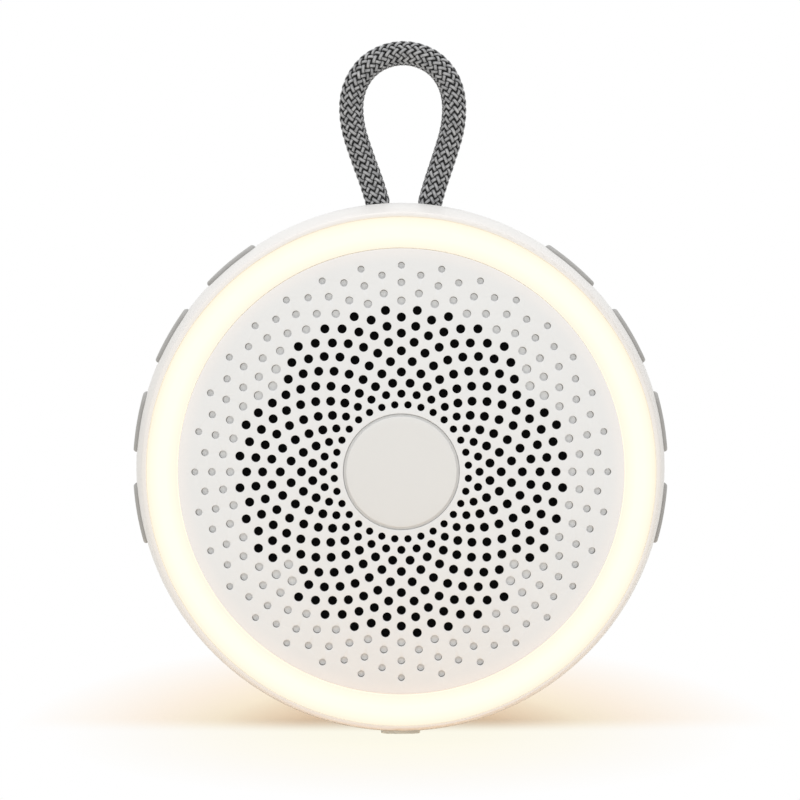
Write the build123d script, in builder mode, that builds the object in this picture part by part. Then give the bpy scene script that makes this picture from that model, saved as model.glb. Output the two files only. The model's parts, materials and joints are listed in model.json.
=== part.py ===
"""White noise sound machine: a round housing that stands on its rim, with a perforated front plate, a
glowing ring round it, eight side keys, a centre button and a rope loop to hang it by.

Millimetres. +Z is up, the front faces -Y, and the origin is on the floor under the middle of the body.
Depths are y values: the front is negative. "Depth" planes are seen from the front, with x to the right.
"""

from build123d import *
import itertools
import math
import os

# --- driving dimensions ---------------------------------------------------------------------------
# body and its barrelled rim
body_radius = 47.5
body_depth = 35.0
crown_radius = 40.0
crown_half = 5.5
housing_wall = 3.0
floor_clearance = 0.25
lip_width = 0.75
lip_fillet = 0.5
parting_margin = 2.4
rebate_depth = 1.6
rebate_wall = 0.9
cover_wall = 2.0
cover_side_wall = 2.7
cover_boss_radius = 3.0
back_fillet = 3.0

# light ring and what lights it
ring_width = 5.3
ring_thickness = 3.0
ring_crown = 0.3
ring_ledge = 0.8
ledge_thickness = 1.2
slip_gap = 0.15
reflector_wall = 0.6
reflector_floor = 0.8
led_count = 24
led_length = 2.2
led_width = 1.4
led_height = 0.7

# front plate
grille_thickness = 2.2
skirt_thickness = 1.55
hole_count = 32
first_ring_gap = 1.6
ring_steps = [1.9, 1.9, 1.9, 1.9, 1.8, 1.6, 1.5, 1.3, 1.5, 1.3, 1.6, 1.4, 1.8, 1.4, 1.6]
plate_margin = 1.5
first_hole = 1.3
second_hole = 1.45
open_hole = 1.6
first_dimple = 1.44
dimple_step = 0.06
dimple_depth = 0.7
closed_holes = {8: [129.375], 9: [56.25, 135.0], 10: [50.625, 61.875, 129.375]}
mesh_thickness = 0.2
mesh_gap = 2.4
mesh_margin = 1.5

# centre button
button_radius = 9.7
button_gap = 0.5
button_proud = 0.1
button_crown = 0.12
button_thickness = 1.0
button_travel = 0.6
moat_depth = 0.45
moat_gap = 0.1
boss_radius = 11.05
boss_back = 1.2
stem_radius = 6.7
stem_wall = 1.1
stem_clearance = 0.2
hook_depth = 0.55
hook_reach = 0.6
hook_width = 2.4
hook_angles = [30, 150, 270]
button_post_radius = 1.1
button_post_step = 0.4
button_post_tip = 0.3
button_board_room = 2.2
button_board_margin = 1.6
button_switch_room = 0.7
button_plunger_radius = 1.4
button_plunger_length = 1.1

# inner frame
frame_thickness = 1.8
frame_gap = 0.2
flange_thickness = 1.2
flange_reach = 1.6
pillar_inset = 6.0
pillar_radius = 2.6
upper_pillar_angle = 70
battery_side_gap = 1.4
grille_post_inset = 3.25
grille_post_radius = 2.0
board_post_gap = 0.4
board_post_radius = 2.2
board_post_angles = [45, 135, 225, 315]
grille_post_angles = [20, 160, 200, 340]
post_floor = 0.5
screw_bite = 6.5
wire_hole = 1.0

# loudspeaker
speaker_radius = 28.4
speaker_opening = 24.6
speaker_screw_circle = 26.6
speaker_screw_angles = [0, 90, 180, 270]
gasket_thickness = 0.5
basket_wall = 1.0
basket_floor_radius = 15.0
basket_height = 7.9
basket_rim = 1.8
basket_draft = 0.4
basket_bore_gap = 1.9
basket_window_width = 5.0
basket_window_length = 14.0
basket_window_corner = 1.5
surround_roll = 1.9
cone_edge_radius = 18.4
cone_neck_radius = 7.9
cone_height = 5.4
cone_lap = 1.2
cone_neck_thickness = 0.56
coil_rise = 0.6
skin = 0.4
cap_overhang = 1.4
cap_seat = 1.3
cap_rise = 2.2
coil_radius = 7.2
coil_wall = 0.3
coil_length = 7.0
pole_radius = 6.6
magnet_radius = 14.5
magnet_bore = 8.6
magnet_thickness = 4.0
iron_radius = 14.0
air_gap = 0.4
iron_thickness = 2.0
spider_rim = 1.4

# circuit boards, switches and socket
board_thickness = 1.2
clamp_to_board = 0.3
main_board_inset = 3.9
main_board_bore_gap = 2.1
switch_inset = 3.4
switch_length = 6.0
switch_corner = 0.4
switch_height = 3.8
switch_deep = 3.5
plunger_radius = 1.1
plunger_length = 1.8
plunger_shown = 1.2
plunger_gap = 0.1
nib_overlap = 0.3
chips = [  # x, height above the middle, length, width, thickness
    (0.0, 26.0, 7.0, 7.0, 0.9),
    (-13.0, 24.0, 5.0, 4.0, 1.5),
    (12.5, 25.0, 4.0, 4.0, 1.8),
    (-24.0, 12.0, 5.0, 3.2, 2.0),
    (25.0, 8.0, 4.0, 4.0, 1.0),
    (22.5, 15.0, 3.0, 1.6, 0.8),
]
socket_width = 8.94
socket_height = 3.2
socket_length = 7.3
socket_wall = 0.35
socket_inset = 0.3
socket_tongue_width = 6.7
socket_tongue_thickness = 0.7
socket_angle = -33
port_margin = 0.3

# side keys
key_length = 10.85
key_width = 10.0
key_proud = 0.6
key_corner = 2.2
key_edge = 0.5
key_gap = 0.25
key_flange = 0.6
key_flange_gap = 0.4
key_flange_thickness = 1.3
key_flange_inset = 0.3
key_travel = 0.5
key_angles = {"right": [50, 30, 10, -10], "left": [130, 150, 170, 190]}
pocket_edge = 0.3

# battery
battery_width = 34.0
battery_thickness = 8.0
battery_corner = 2.0
battery_gap = 0.3
battery_margin = 3.9
pad_thickness = 0.5
pad_inset = 2.0
plug_reach = 10.0
plug_rise = 7.5
plug_length = 6.0
plug_width = 4.5
plug_height = 4.0

# wires
wire_radius = 0.5
wire_bend = 1.0
speaker_wire_radius = 0.6
speaker_wire_angles = [200, 205]
led_wire_angles = [268, 272]
battery_wire_radius = 0.8
battery_wire_bend = 1.8
battery_wire_inset = 2.4
button_wire_angle = 60
wire_to_speaker = 2.4
wire_to_edge = 0.8

# rope loop and what holds it
rope_diameter = 4.5
rope_hole_gap = 0.1
pivot_rise = 0.75
loop_route = [
    (-4.3, 0.0),
    (-5.0, 2.45),
    (-6.6, 6.65),
    (-8.95, 13.65),
    (-8.7, 19.85),
    (-5.35, 24.65),
    (0.45, 26.55),
    (6.2, 24.7),
    (9.5, 19.95),
    (9.75, 13.55),
    (7.6, 6.6),
    (6.15, 2.4),
    (5.5, 0.0),
]
arc_share = 0.45
clamp_side = 1.75
clamp_height = 6.1
clamp_corner = 1.0
clamp_front = 3.0
clamp_back = 2.9
clamp_post_radius = 2.0
clamp_screw_rise = 2.2
clamp_screw_bite = 2.5
rope_bulb_radius = 2.9
rope_bulb_height = 1.5

# foot and screws
foot_width = 7.0
foot_depth = 9.0
foot_recess = 1.2
foot_peg_radius = 1.2
foot_peg_spacing = 5.0
case_screw_head = 1.9
case_screw_head_height = 1.6
case_screw_shank = 1.05
case_screw_length = 9.0
case_screw_recess = 3.0
small_screw_head = 1.6
small_screw_head_height = 1.1
small_screw_shank = 0.9
screw_tip_gap = 1.5
cross_width = 0.35
cross_length = 1.2
cross_depth = 0.5
thread_clearance = 0.05
cut_margin = 1.0

# --- sizes that follow ----------------------------------------------------------------------------
centre_height = body_radius + floor_clearance
front_y = -body_depth / 2
back_y = body_depth / 2
lip_y = front_y + ring_crown
cavity_radius = body_radius - housing_wall
cover_inner_y = back_y - cover_wall


def rim_radius(y, proud=0.0):
    """Radius of the rim at depth y: an arc in the middle of the depth and a straight taper beyond it."""
    along = min(abs(y), crown_half)
    sag = crown_radius - math.sqrt(crown_radius**2 - along**2)
    slope = crown_half / math.sqrt(crown_radius**2 - crown_half**2)
    return body_radius + proud - sag - slope * (abs(y) - along)


# light ring, front plate and button, from the front face backwards
ring_bore = rim_radius(lip_y) - lip_width
ring_outer = ring_bore - slip_gap
ring_inner = ring_outer - ring_width
ring_back_y = front_y + ring_thickness
ledge_back_y = ring_back_y + ledge_thickness
ledge_bore = ring_bore - ring_ledge - frame_gap / 2
grille_radius = ring_inner - slip_gap
grille_back_y = lip_y + grille_thickness
recess_radius = button_radius + button_gap
button_top_y = lip_y - button_proud
button_under_y = button_top_y + button_thickness
recess_floor_y = button_under_y + button_travel + stem_clearance / 2
boss_back_y = grille_back_y + boss_back
stem_bore = stem_radius + stem_clearance
stem_end_y = boss_back_y + hook_depth
button_board_front_y = stem_end_y + button_board_room
button_switch_front_y = stem_end_y + button_switch_room
button_post_circle = (stem_bore + boss_radius) / 2

# inner frame, just in front of the keys' flanges, and the speaker on its back
frame_back_y = -(key_width / 2 + key_flange + key_flange_gap + flange_thickness)
frame_front_y = frame_back_y - frame_thickness
led_board_front_y = frame_front_y - board_thickness
frame_radius = ring_bore - ring_ledge - frame_gap
light_inner = ring_inner
light_outer = frame_radius - frame_gap
led_circle = (light_inner + light_outer) / 2
led_wire_circle = light_inner + wire_to_edge
pillar_circle = cavity_radius - pillar_inset
lower_pillar_side = battery_width / 2 + pillar_radius + battery_side_gap
lower_pillar_angle = math.degrees(math.acos(lower_pillar_side / pillar_circle))
pillar_angles = [upper_pillar_angle, 180 - upper_pillar_angle, -lower_pillar_angle, lower_pillar_angle - 180]
grille_post_circle = grille_radius - grille_post_inset
board_post_circle = speaker_radius + board_post_gap + board_post_radius
button_wire_circle = speaker_radius + wire_to_speaker
speaker_front_y = frame_back_y + gasket_thickness
basket_floor_y = speaker_front_y + basket_height
basket_mouth = speaker_opening - basket_rim
cone_neck_y = speaker_front_y + cone_height
magnet_front_y = basket_floor_y + iron_thickness
magnet_back_y = magnet_front_y + magnet_thickness

# holes in the front plate: open where the black cloth backs them, blind outside it
ring_radii = list(itertools.accumulate(ring_steps, initial=recess_radius + first_ring_gap))
ring_radii = [radius for radius in ring_radii if radius + first_dimple / 2 + plate_margin < grille_radius]
mesh_radius = grille_post_circle - grille_post_radius - mesh_gap
open_rings = sum(radius + open_hole / 2 + mesh_margin < mesh_radius for radius in ring_radii)

# main board behind the rope clamp, and the housing's parting line behind the charging socket
board_front_y = clamp_back + clamp_to_board
board_back_y = board_front_y + board_thickness
main_board_radius = cavity_radius - main_board_inset
main_board_bore = magnet_radius + main_board_bore_gap
switch_face = cavity_radius - switch_inset
switch_y = board_front_y - switch_height / 2
socket_mouth = cavity_radius - socket_inset
socket_y = board_back_y + socket_height / 2
parting_y = board_back_y + socket_height + parting_margin
cover_cavity = rim_radius(parting_y) - cover_side_wall
flange_outer = cavity_radius - key_flange_inset
flange_inner = flange_outer - key_flange_thickness

# battery, in the room between the magnet and the cover's wall
battery_bottom = math.sqrt(cover_cavity**2 - (battery_width / 2) ** 2) - battery_margin
battery_top = magnet_radius + battery_gap
battery_height = battery_bottom - battery_top
battery_drop = (battery_bottom + battery_top) / 2
plug_x = -battery_width / 2 - plug_reach
plug_drop = battery_drop - plug_rise

# rope, clamp and foot
rope_radius = rope_diameter / 2
pivot_height = centre_height + body_radius + pivot_rise
left_exit = loop_route[0][0]
right_exit = loop_route[-1][0]
loop_middle = (left_exit + right_exit) / 2
clamp_length = right_exit - left_exit + rope_diameter + 2 * clamp_side
clamp_bottom = cavity_radius - clamp_height
clamp_screw_height = clamp_bottom + clamp_screw_rise
foot_seat = body_radius - foot_recess

section = Plane.XY.offset(centre_height)
machine_axis = Axis((0, 0, centre_height), (0, 1, 0))


def depth_plane(y, turn=0.0):
    """Plane at depth y as seen from the front: its x runs out at the angle turn, its normal is forwards."""
    along = (math.cos(math.radians(turn)), 0, math.sin(math.radians(turn)))
    return Plane(origin=(0, y, centre_height), x_dir=along, z_dir=(0, -1, 0))


def rim_plane(angle, distance, y=0.0):
    """Plane that faces outwards at an angle round the rim: its x is along the rim, its y is backwards."""
    turn = math.radians(angle)
    out = Vector(math.cos(turn), 0, math.sin(turn))
    foot = Vector(0, y, centre_height) + out * distance
    return Plane(origin=foot, x_dir=(math.sin(turn), 0, -math.cos(turn)), z_dir=out)


def lies_outside(edge):
    """Whether an edge lies on the outer face of the rim."""
    middle = edge.center()
    return math.hypot(middle.X, middle.Z - centre_height) > (cavity_radius + body_radius) / 2


def turned(*corners):
    """A ring turned round the machine's axis from a closed outline of (radius, y) corners."""
    with BuildPart() as ring:
        with BuildSketch(section):
            with BuildLine():
                Polyline(*corners, close=True)
            make_face()
        revolve(axis=machine_axis)
    return ring


def save(piece, name):
    """Label the piece in the open part and write it to its own file."""
    piece.part.label = name
    export_step(piece.part, f"parts/{name}.step")


def screws(name, under_head_y, circle, angles, head, head_height, shank, length):
    """Cross-head screws in a circle, put in from behind: one solid for each angle."""
    slot_width = head * cross_width
    slot_length = head * cross_length
    slot_depth = head_height * cross_depth
    with BuildPart() as group:
        for angle in angles:
            with BuildSketch(depth_plane(under_head_y, angle)):
                with Locations((circle, 0)):
                    Circle(head)
            extrude(amount=-head_height)
            with BuildSketch(depth_plane(under_head_y, angle)):
                with Locations((circle, 0)):
                    Circle(shank)
            extrude(amount=length)
            with BuildSketch(depth_plane(under_head_y + head_height, angle)):
                with Locations((circle, 0)):
                    Rectangle(slot_length, slot_width)
                    Rectangle(slot_width, slot_length)
            extrude(amount=slot_depth, mode=Mode.SUBTRACT)
    save(group, name)


def round_wire(name, radius, routes, bend):
    """Insulated wires of round section along the given corner points, one solid for each route."""
    with BuildPart() as wires:
        for route in routes:
            start = Vector(*route[0])
            heading = Vector(*route[1]) - start
            with BuildLine() as path:
                if len(route) > 2:
                    FilletPolyline(*route, radius=bend)
                else:
                    Line(*route)
            with BuildSketch(Plane(origin=start, z_dir=heading)):
                Circle(radius)
            sweep(path=path.wire())
    save(wires, name)


def at_angle(radius, angle, y):
    """The point at a radius and an angle round the machine's axis, at depth y."""
    turn = math.radians(angle)
    return (radius * math.cos(turn), y, centre_height + radius * math.sin(turn))


os.makedirs("parts", exist_ok=True)

# --- front housing: rim, lip, ledges, key pockets, rope holes -------------------------------------
with BuildPart() as front_housing:
    with BuildSketch(section) as housing_profile:
        with BuildLine():
            crown_edge = rim_radius(crown_half)
            ThreePointArc((crown_edge, crown_half), (body_radius, 0), (crown_edge, -crown_half))
            Polyline(
                (crown_edge, -crown_half),
                (rim_radius(lip_y), lip_y),
                (ring_bore, lip_y),
                (ring_bore, ring_back_y),
                (ledge_bore, ring_back_y),
                (ledge_bore, ledge_back_y),
                (cavity_radius, ledge_back_y),
                (cavity_radius, frame_back_y),
                (cavity_radius - flange_reach, frame_back_y),
                (cavity_radius - flange_reach, frame_back_y + flange_thickness),
                (cavity_radius, frame_back_y + flange_thickness),
                (cavity_radius, parting_y - rebate_depth),
                (cavity_radius + rebate_wall, parting_y - rebate_depth),
                (cavity_radius + rebate_wall, parting_y),
                (rim_radius(parting_y), parting_y),
                (crown_edge, crown_half),
            )
        make_face()
        fillet(housing_profile.vertices().group_by(Axis.Y)[0].sort_by(Axis.X)[-1], lip_fillet)
    revolve(axis=machine_axis)
    for angle in key_angles["right"] + key_angles["left"]:
        with BuildSketch(rim_plane(angle, cavity_radius - cut_margin)):
            RectangleRounded(key_length + 2 * key_gap, key_width + 2 * key_gap, key_corner + key_gap)
        extrude(amount=housing_wall + 2 * cut_margin, mode=Mode.SUBTRACT)
        fillet(front_housing.edges(Select.LAST).filter_by(lies_outside), pocket_edge)
    with BuildSketch(Plane.XY.offset(centre_height + cavity_radius - 2 * cut_margin)):
        with Locations((left_exit, 0), (right_exit, 0)):
            Circle(rope_radius + rope_hole_gap)
    extrude(amount=housing_wall + 4 * cut_margin, mode=Mode.SUBTRACT)
    with BuildSketch(rim_plane(socket_angle, cavity_radius - cut_margin, socket_y)):
        SlotOverall(socket_width + 2 * port_margin, socket_height + 2 * port_margin)
    extrude(amount=housing_wall + 2 * cut_margin, mode=Mode.SUBTRACT)
    with BuildSketch(Plane.XY.offset(centre_height - foot_seat)):
        RectangleRounded(foot_width + slip_gap, foot_depth + slip_gap, foot_width / 4)
    extrude(amount=-(foot_recess + cut_margin), mode=Mode.SUBTRACT)
    with BuildSketch(Plane.XY.offset(centre_height - foot_seat)):
        with GridLocations(1, foot_peg_spacing, 1, 2):
            Circle(foot_peg_radius + slip_gap / 2)
    extrude(amount=foot_seat - cavity_radius + cut_margin, mode=Mode.SUBTRACT)
save(front_housing, "front_housing")

# --- rear cover: flat back, tongue into the housing's rebate, four screw bosses -------------------
with BuildPart() as rear_cover:
    tongue_outer = cavity_radius + rebate_wall - frame_gap / 2
    tongue_inner = cavity_radius - frame_gap
    with BuildSketch(section) as cover_profile:
        with BuildLine():
            Polyline(
                (0, back_y),
                (rim_radius(back_y), back_y),
                (rim_radius(parting_y), parting_y),
                (tongue_outer, parting_y),
                (tongue_outer, parting_y - rebate_depth + frame_gap / 2),
                (tongue_inner, parting_y - rebate_depth + frame_gap / 2),
                (tongue_inner, parting_y),
                (cover_cavity, parting_y),
                (cover_cavity, cover_inner_y),
                (0, cover_inner_y),
                close=True,
            )
        make_face()
        fillet(cover_profile.vertices().group_by(Axis.Y)[-1].sort_by(Axis.X)[-1], back_fillet)
    revolve(axis=machine_axis)
    for angle in pillar_angles:
        with BuildSketch(depth_plane(cover_inner_y, angle)):
            with Locations((pillar_circle, 0)):
                Circle(cover_boss_radius)
        extrude(amount=cover_inner_y - parting_y)
        with BuildSketch(depth_plane(back_y, angle)):
            with Locations((pillar_circle, 0)):
                Circle(case_screw_shank + frame_gap)
        extrude(amount=back_y - parting_y, mode=Mode.SUBTRACT)
        with BuildSketch(depth_plane(back_y, angle)):
            with Locations((pillar_circle, 0)):
                Circle(case_screw_head + frame_gap)
        extrude(amount=case_screw_recess, mode=Mode.SUBTRACT)
save(rear_cover, "rear_cover")

# --- front plate: rings of holes and dimples, button recess, skirt and posts ----------------------
with BuildPart() as grille_plate:
    with BuildSketch(section):
        with BuildLine():
            Polyline(
                (stem_bore, recess_floor_y),
                (recess_radius, recess_floor_y),
                (recess_radius, lip_y),
                (grille_radius, lip_y),
                (grille_radius, ring_back_y),
                (grille_radius + ring_ledge, ring_back_y),
                (grille_radius + ring_ledge, ledge_back_y - frame_gap),
                (grille_radius, ledge_back_y - frame_gap),
                (grille_radius, frame_front_y),
                (grille_radius - skirt_thickness, frame_front_y),
                (grille_radius - skirt_thickness, grille_back_y),
                (boss_radius, grille_back_y),
                (boss_radius, boss_back_y),
                (stem_bore, boss_back_y),
                close=True,
            )
        make_face()
    revolve(axis=machine_axis)
    for angle in grille_post_angles:
        with BuildSketch(depth_plane(grille_back_y, angle)):
            with Locations((grille_post_circle, 0)):
                Circle(grille_post_radius)
        extrude(amount=-(frame_front_y - grille_back_y))
        with BuildSketch(depth_plane(frame_front_y, angle)):
            with Locations((grille_post_circle, 0)):
                Circle(small_screw_shank + thread_clearance)
        extrude(amount=frame_front_y - grille_back_y - post_floor, mode=Mode.SUBTRACT)
    step = 360 / hole_count
    with BuildSketch(depth_plane(lip_y)):
        for index, ring_radius in enumerate(ring_radii[:open_rings]):
            hole = [first_hole, second_hole][index] if index < 2 else open_hole
            closed = closed_holes.get(index, [])
            for place in range(hole_count):
                angle = (place + (0.5 if index % 2 == 0 else 0)) * step
                if angle in closed or 360 - angle in closed:
                    continue
                turn = math.radians(90 - angle)
                with Locations((ring_radius * math.cos(turn), ring_radius * math.sin(turn))):
                    Circle(hole / 2)
    extrude(amount=-grille_thickness - boss_back, mode=Mode.SUBTRACT)
    with BuildSketch(depth_plane(lip_y)):
        for index, ring_radius in enumerate(ring_radii[open_rings:]):
            dimple = first_dimple - index * dimple_step
            offset_turn = 0.5 * step if (index + open_rings) % 2 == 0 else 0
            with PolarLocations(ring_radius, hole_count, start_angle=offset_turn):
                Circle(dimple / 2)
        for index in range(open_rings):
            for angle in closed_holes.get(index, []):
                for side in (angle, -angle):
                    turn = math.radians(90 - side)
                    radius = ring_radii[index]
                    with Locations((radius * math.cos(turn), radius * math.sin(turn))):
                        Circle(open_hole / 2)
    extrude(amount=-dimple_depth, mode=Mode.SUBTRACT)
    with BuildSketch(depth_plane(boss_back_y)):
        with PolarLocations(button_post_circle, 3, start_angle=90):
            Circle(button_post_radius)
    extrude(amount=-(button_board_front_y - boss_back_y))
    with BuildSketch(depth_plane(button_board_front_y)):
        with PolarLocations(button_post_circle, 3, start_angle=90):
            Circle(button_post_radius - button_post_step)
    extrude(amount=-(board_thickness + button_post_tip))
save(grille_plate, "grille_plate")

# --- light ring, reflector, lamp board and lamps --------------------------------------------------
with BuildPart() as light_ring:
    with BuildSketch(section):
        with BuildLine():
            ThreePointArc((ring_inner, lip_y), ((ring_inner + ring_outer) / 2, front_y), (ring_outer, lip_y))
            Polyline(
                (ring_outer, lip_y), (ring_outer, ring_back_y), (ring_inner, ring_back_y), (ring_inner, lip_y)
            )
        make_face()
    revolve(axis=machine_axis)
save(light_ring, "light_ring")

with BuildPart() as reflector_ring:
    with BuildSketch(section):
        with BuildLine():
            Polyline(
                (light_inner, led_board_front_y),
                (light_outer, led_board_front_y),
                (light_outer, ledge_back_y),
                (light_outer - reflector_wall, ledge_back_y),
                (light_outer - reflector_wall, led_board_front_y - reflector_floor),
                (light_inner + reflector_wall, led_board_front_y - reflector_floor),
                (light_inner + reflector_wall, ledge_back_y),
                (light_inner, ledge_back_y),
                close=True,
            )
        make_face()
    revolve(axis=machine_axis)
    with BuildSketch(depth_plane(led_board_front_y)):
        with PolarLocations(led_circle, led_count):
            Rectangle(led_width + 2 * frame_gap, led_length + 2 * frame_gap)
    extrude(amount=reflector_floor, mode=Mode.SUBTRACT)
save(reflector_ring, "reflector_ring")

led_board = turned(
    (light_inner + frame_gap / 2, led_board_front_y),
    (light_outer, led_board_front_y),
    (light_outer, frame_front_y),
    (light_inner + frame_gap / 2, frame_front_y),
)
save(led_board, "led_board")

with BuildPart() as leds:
    with BuildSketch(depth_plane(led_board_front_y)):
        with PolarLocations(led_circle, led_count):
            Rectangle(led_width, led_length)
    extrude(amount=led_height)
save(leds, "leds")

# --- black cloth behind the holes -----------------------------------------------------------------
dust_mesh = turned(
    (boss_radius + frame_gap, grille_back_y),
    (mesh_radius, grille_back_y),
    (mesh_radius, grille_back_y + mesh_thickness),
    (boss_radius + frame_gap, grille_back_y + mesh_thickness),
)
save(dust_mesh, "dust_mesh")

# --- centre button with its hooked stem, its plunger, switch and small board ----------------------
with BuildPart() as centre_button:
    with BuildSketch(section):
        with BuildLine():
            top_line = Spline(
                (button_radius, button_top_y),
                (0, button_top_y - button_crown),
                tangents=[(-1, -button_crown / button_radius), (-1, 0)],
            )
            Polyline(
                top_line @ 1,
                (0, button_under_y),
                (stem_radius - stem_wall, button_under_y),
                (stem_radius - stem_wall, stem_end_y),
                (stem_radius, stem_end_y),
                (stem_radius, button_under_y),
                (recess_radius - moat_gap, button_under_y),
                (recess_radius - moat_gap, button_top_y + moat_depth),
                (button_radius, button_top_y + moat_depth),
                top_line @ 0,
            )
        make_face()
    revolve(axis=machine_axis)
    with BuildSketch(depth_plane(button_under_y)):
        Circle(button_plunger_radius + frame_gap)
    extrude(amount=-(stem_end_y - button_under_y))
    for angle in hook_angles:
        with BuildSketch(depth_plane(stem_end_y, angle)):
            with Locations((stem_radius - stem_wall / 2 + hook_reach / 2, 0)):
                Rectangle(stem_wall + hook_reach, hook_width)
        extrude(amount=hook_depth - thread_clearance)
save(centre_button, "centre_button")

with BuildPart() as button_plunger:
    with BuildSketch(depth_plane(stem_end_y)):
        Circle(button_plunger_radius)
    extrude(amount=-button_plunger_length)
save(button_plunger, "button_plunger")

plunger_entry = stem_end_y + button_plunger_length - button_switch_front_y
with BuildPart() as button_switch:
    with BuildSketch(depth_plane(button_board_front_y)):
        RectangleRounded(switch_length, switch_length, switch_corner)
    extrude(amount=button_board_front_y - button_switch_front_y)
    with BuildSketch(depth_plane(button_switch_front_y)):
        Circle(button_plunger_radius + plunger_gap)
    extrude(amount=-(plunger_entry + button_travel + plunger_gap), mode=Mode.SUBTRACT)
save(button_switch, "button_switch")

with BuildPart() as button_board:
    with BuildSketch(depth_plane(button_board_front_y)):
        Circle(button_post_circle + button_board_margin)
        with PolarLocations(button_post_circle, 3, start_angle=90):
            Circle(button_post_radius - button_post_step + plunger_gap, mode=Mode.SUBTRACT)
    extrude(amount=-board_thickness)
save(button_board, "button_board")

# --- inner frame: carries the speaker, the boards and the front plate, and pulls up on the flange --
with BuildPart() as inner_frame:
    with BuildSketch(depth_plane(frame_back_y)):
        Circle(frame_radius)
        Circle(speaker_opening, mode=Mode.SUBTRACT)
    extrude(amount=frame_thickness)
    for angle in pillar_angles:
        with BuildSketch(depth_plane(frame_back_y, angle)):
            with Locations((pillar_circle, 0)):
                Circle(pillar_radius)
        extrude(amount=-(parting_y - frame_back_y))
        with BuildSketch(depth_plane(parting_y, angle)):
            with Locations((pillar_circle, 0)):
                Circle(case_screw_shank + thread_clearance)
        extrude(amount=case_screw_length, mode=Mode.SUBTRACT)
    with BuildSketch(depth_plane(frame_back_y)):
        with PolarLocations(board_post_circle, len(board_post_angles), start_angle=board_post_angles[0]):
            Circle(board_post_radius)
    extrude(amount=-(board_front_y - frame_back_y))
    with BuildSketch(depth_plane(board_front_y)):
        with PolarLocations(board_post_circle, len(board_post_angles), start_angle=board_post_angles[0]):
            Circle(small_screw_shank + thread_clearance)
    extrude(amount=screw_bite, mode=Mode.SUBTRACT)
    with BuildSketch(depth_plane(frame_back_y)):
        with Locations((loop_middle, clamp_screw_height)):
            Circle(clamp_post_radius)
    extrude(amount=-(-clamp_front - frame_back_y))
    with BuildSketch(depth_plane(-clamp_front)):
        with Locations((loop_middle, clamp_screw_height)):
            Circle(small_screw_shank + thread_clearance)
    extrude(amount=clamp_screw_bite + cut_margin, mode=Mode.SUBTRACT)
    with BuildSketch(depth_plane(frame_back_y)):
        for angle in grille_post_angles:
            with PolarLocations(grille_post_circle, 1, start_angle=angle):
                Circle(small_screw_shank + frame_gap)
        with PolarLocations(speaker_screw_circle, len(speaker_screw_angles)):
            Circle(small_screw_shank + thread_clearance)
        with PolarLocations(button_wire_circle, 1, start_angle=button_wire_angle):
            Circle(wire_hole)
        for angle in led_wire_angles:
            with PolarLocations(led_wire_circle, 1, start_angle=angle):
                Circle(wire_hole)
    extrude(amount=frame_thickness, mode=Mode.SUBTRACT)
save(inner_frame, "inner_frame")

# --- loudspeaker ----------------------------------------------------------------------------------
with BuildPart() as speaker_gasket:
    with BuildSketch(depth_plane(speaker_front_y)):
        Circle(speaker_radius)
        Circle(speaker_opening, mode=Mode.SUBTRACT)
        with PolarLocations(speaker_screw_circle, len(speaker_screw_angles)):
            Circle(small_screw_shank + frame_gap, mode=Mode.SUBTRACT)
    extrude(amount=gasket_thickness)
save(speaker_gasket, "speaker_gasket")

with BuildPart() as speaker_frame:
    with BuildSketch(section):
        with BuildLine():
            Polyline(
                (basket_mouth, speaker_front_y),
                (speaker_radius, speaker_front_y),
                (speaker_radius, speaker_front_y + basket_wall),
                (basket_mouth + basket_wall + basket_draft, speaker_front_y + basket_wall),
                (basket_floor_radius + basket_wall, basket_floor_y),
                (coil_radius + basket_bore_gap, basket_floor_y),
                (coil_radius + basket_bore_gap, basket_floor_y - basket_wall),
                (basket_floor_radius - basket_draft, basket_floor_y - basket_wall),
                (basket_mouth, speaker_front_y + basket_wall),
                close=True,
            )
        make_face()
    revolve(axis=machine_axis)
    with BuildSketch(depth_plane(basket_floor_y - basket_wall - cut_margin)):
        with PolarLocations((basket_floor_radius + basket_mouth) / 2, 4, start_angle=board_post_angles[0]):
            RectangleRounded(basket_window_width, basket_window_length, basket_window_corner)
    extrude(amount=basket_height - 2 * basket_wall - basket_window_corner, mode=Mode.SUBTRACT)
    with BuildSketch(depth_plane(speaker_front_y)):
        with PolarLocations(speaker_screw_circle, len(speaker_screw_angles)):
            Circle(small_screw_shank + frame_gap)
    extrude(amount=-basket_wall, mode=Mode.SUBTRACT)
save(speaker_frame, "speaker_frame")

with BuildPart() as speaker_surround:
    roll_middle = (basket_mouth + cone_edge_radius) / 2
    with BuildSketch(section):
        with BuildLine():
            outer_roll = ThreePointArc(
                (cone_edge_radius, speaker_front_y - skin),
                (roll_middle, speaker_front_y - skin - surround_roll),
                (basket_mouth, speaker_front_y - skin),
            )
            Polyline(
                outer_roll @ 1,
                (speaker_opening - frame_gap, speaker_front_y - skin),
                (speaker_opening - frame_gap, speaker_front_y),
                (basket_mouth - skin, speaker_front_y),
            )
            ThreePointArc(
                (basket_mouth - skin, speaker_front_y),
                (roll_middle, speaker_front_y - surround_roll),
                (cone_edge_radius + skin, speaker_front_y),
            )
            Polyline(
                (cone_edge_radius + skin, speaker_front_y),
                (cone_edge_radius - cone_lap, speaker_front_y),
                (cone_edge_radius - cone_lap, speaker_front_y - skin),
                outer_roll @ 0,
            )
        make_face()
    revolve(axis=machine_axis)
save(speaker_surround, "speaker_surround")

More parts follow.
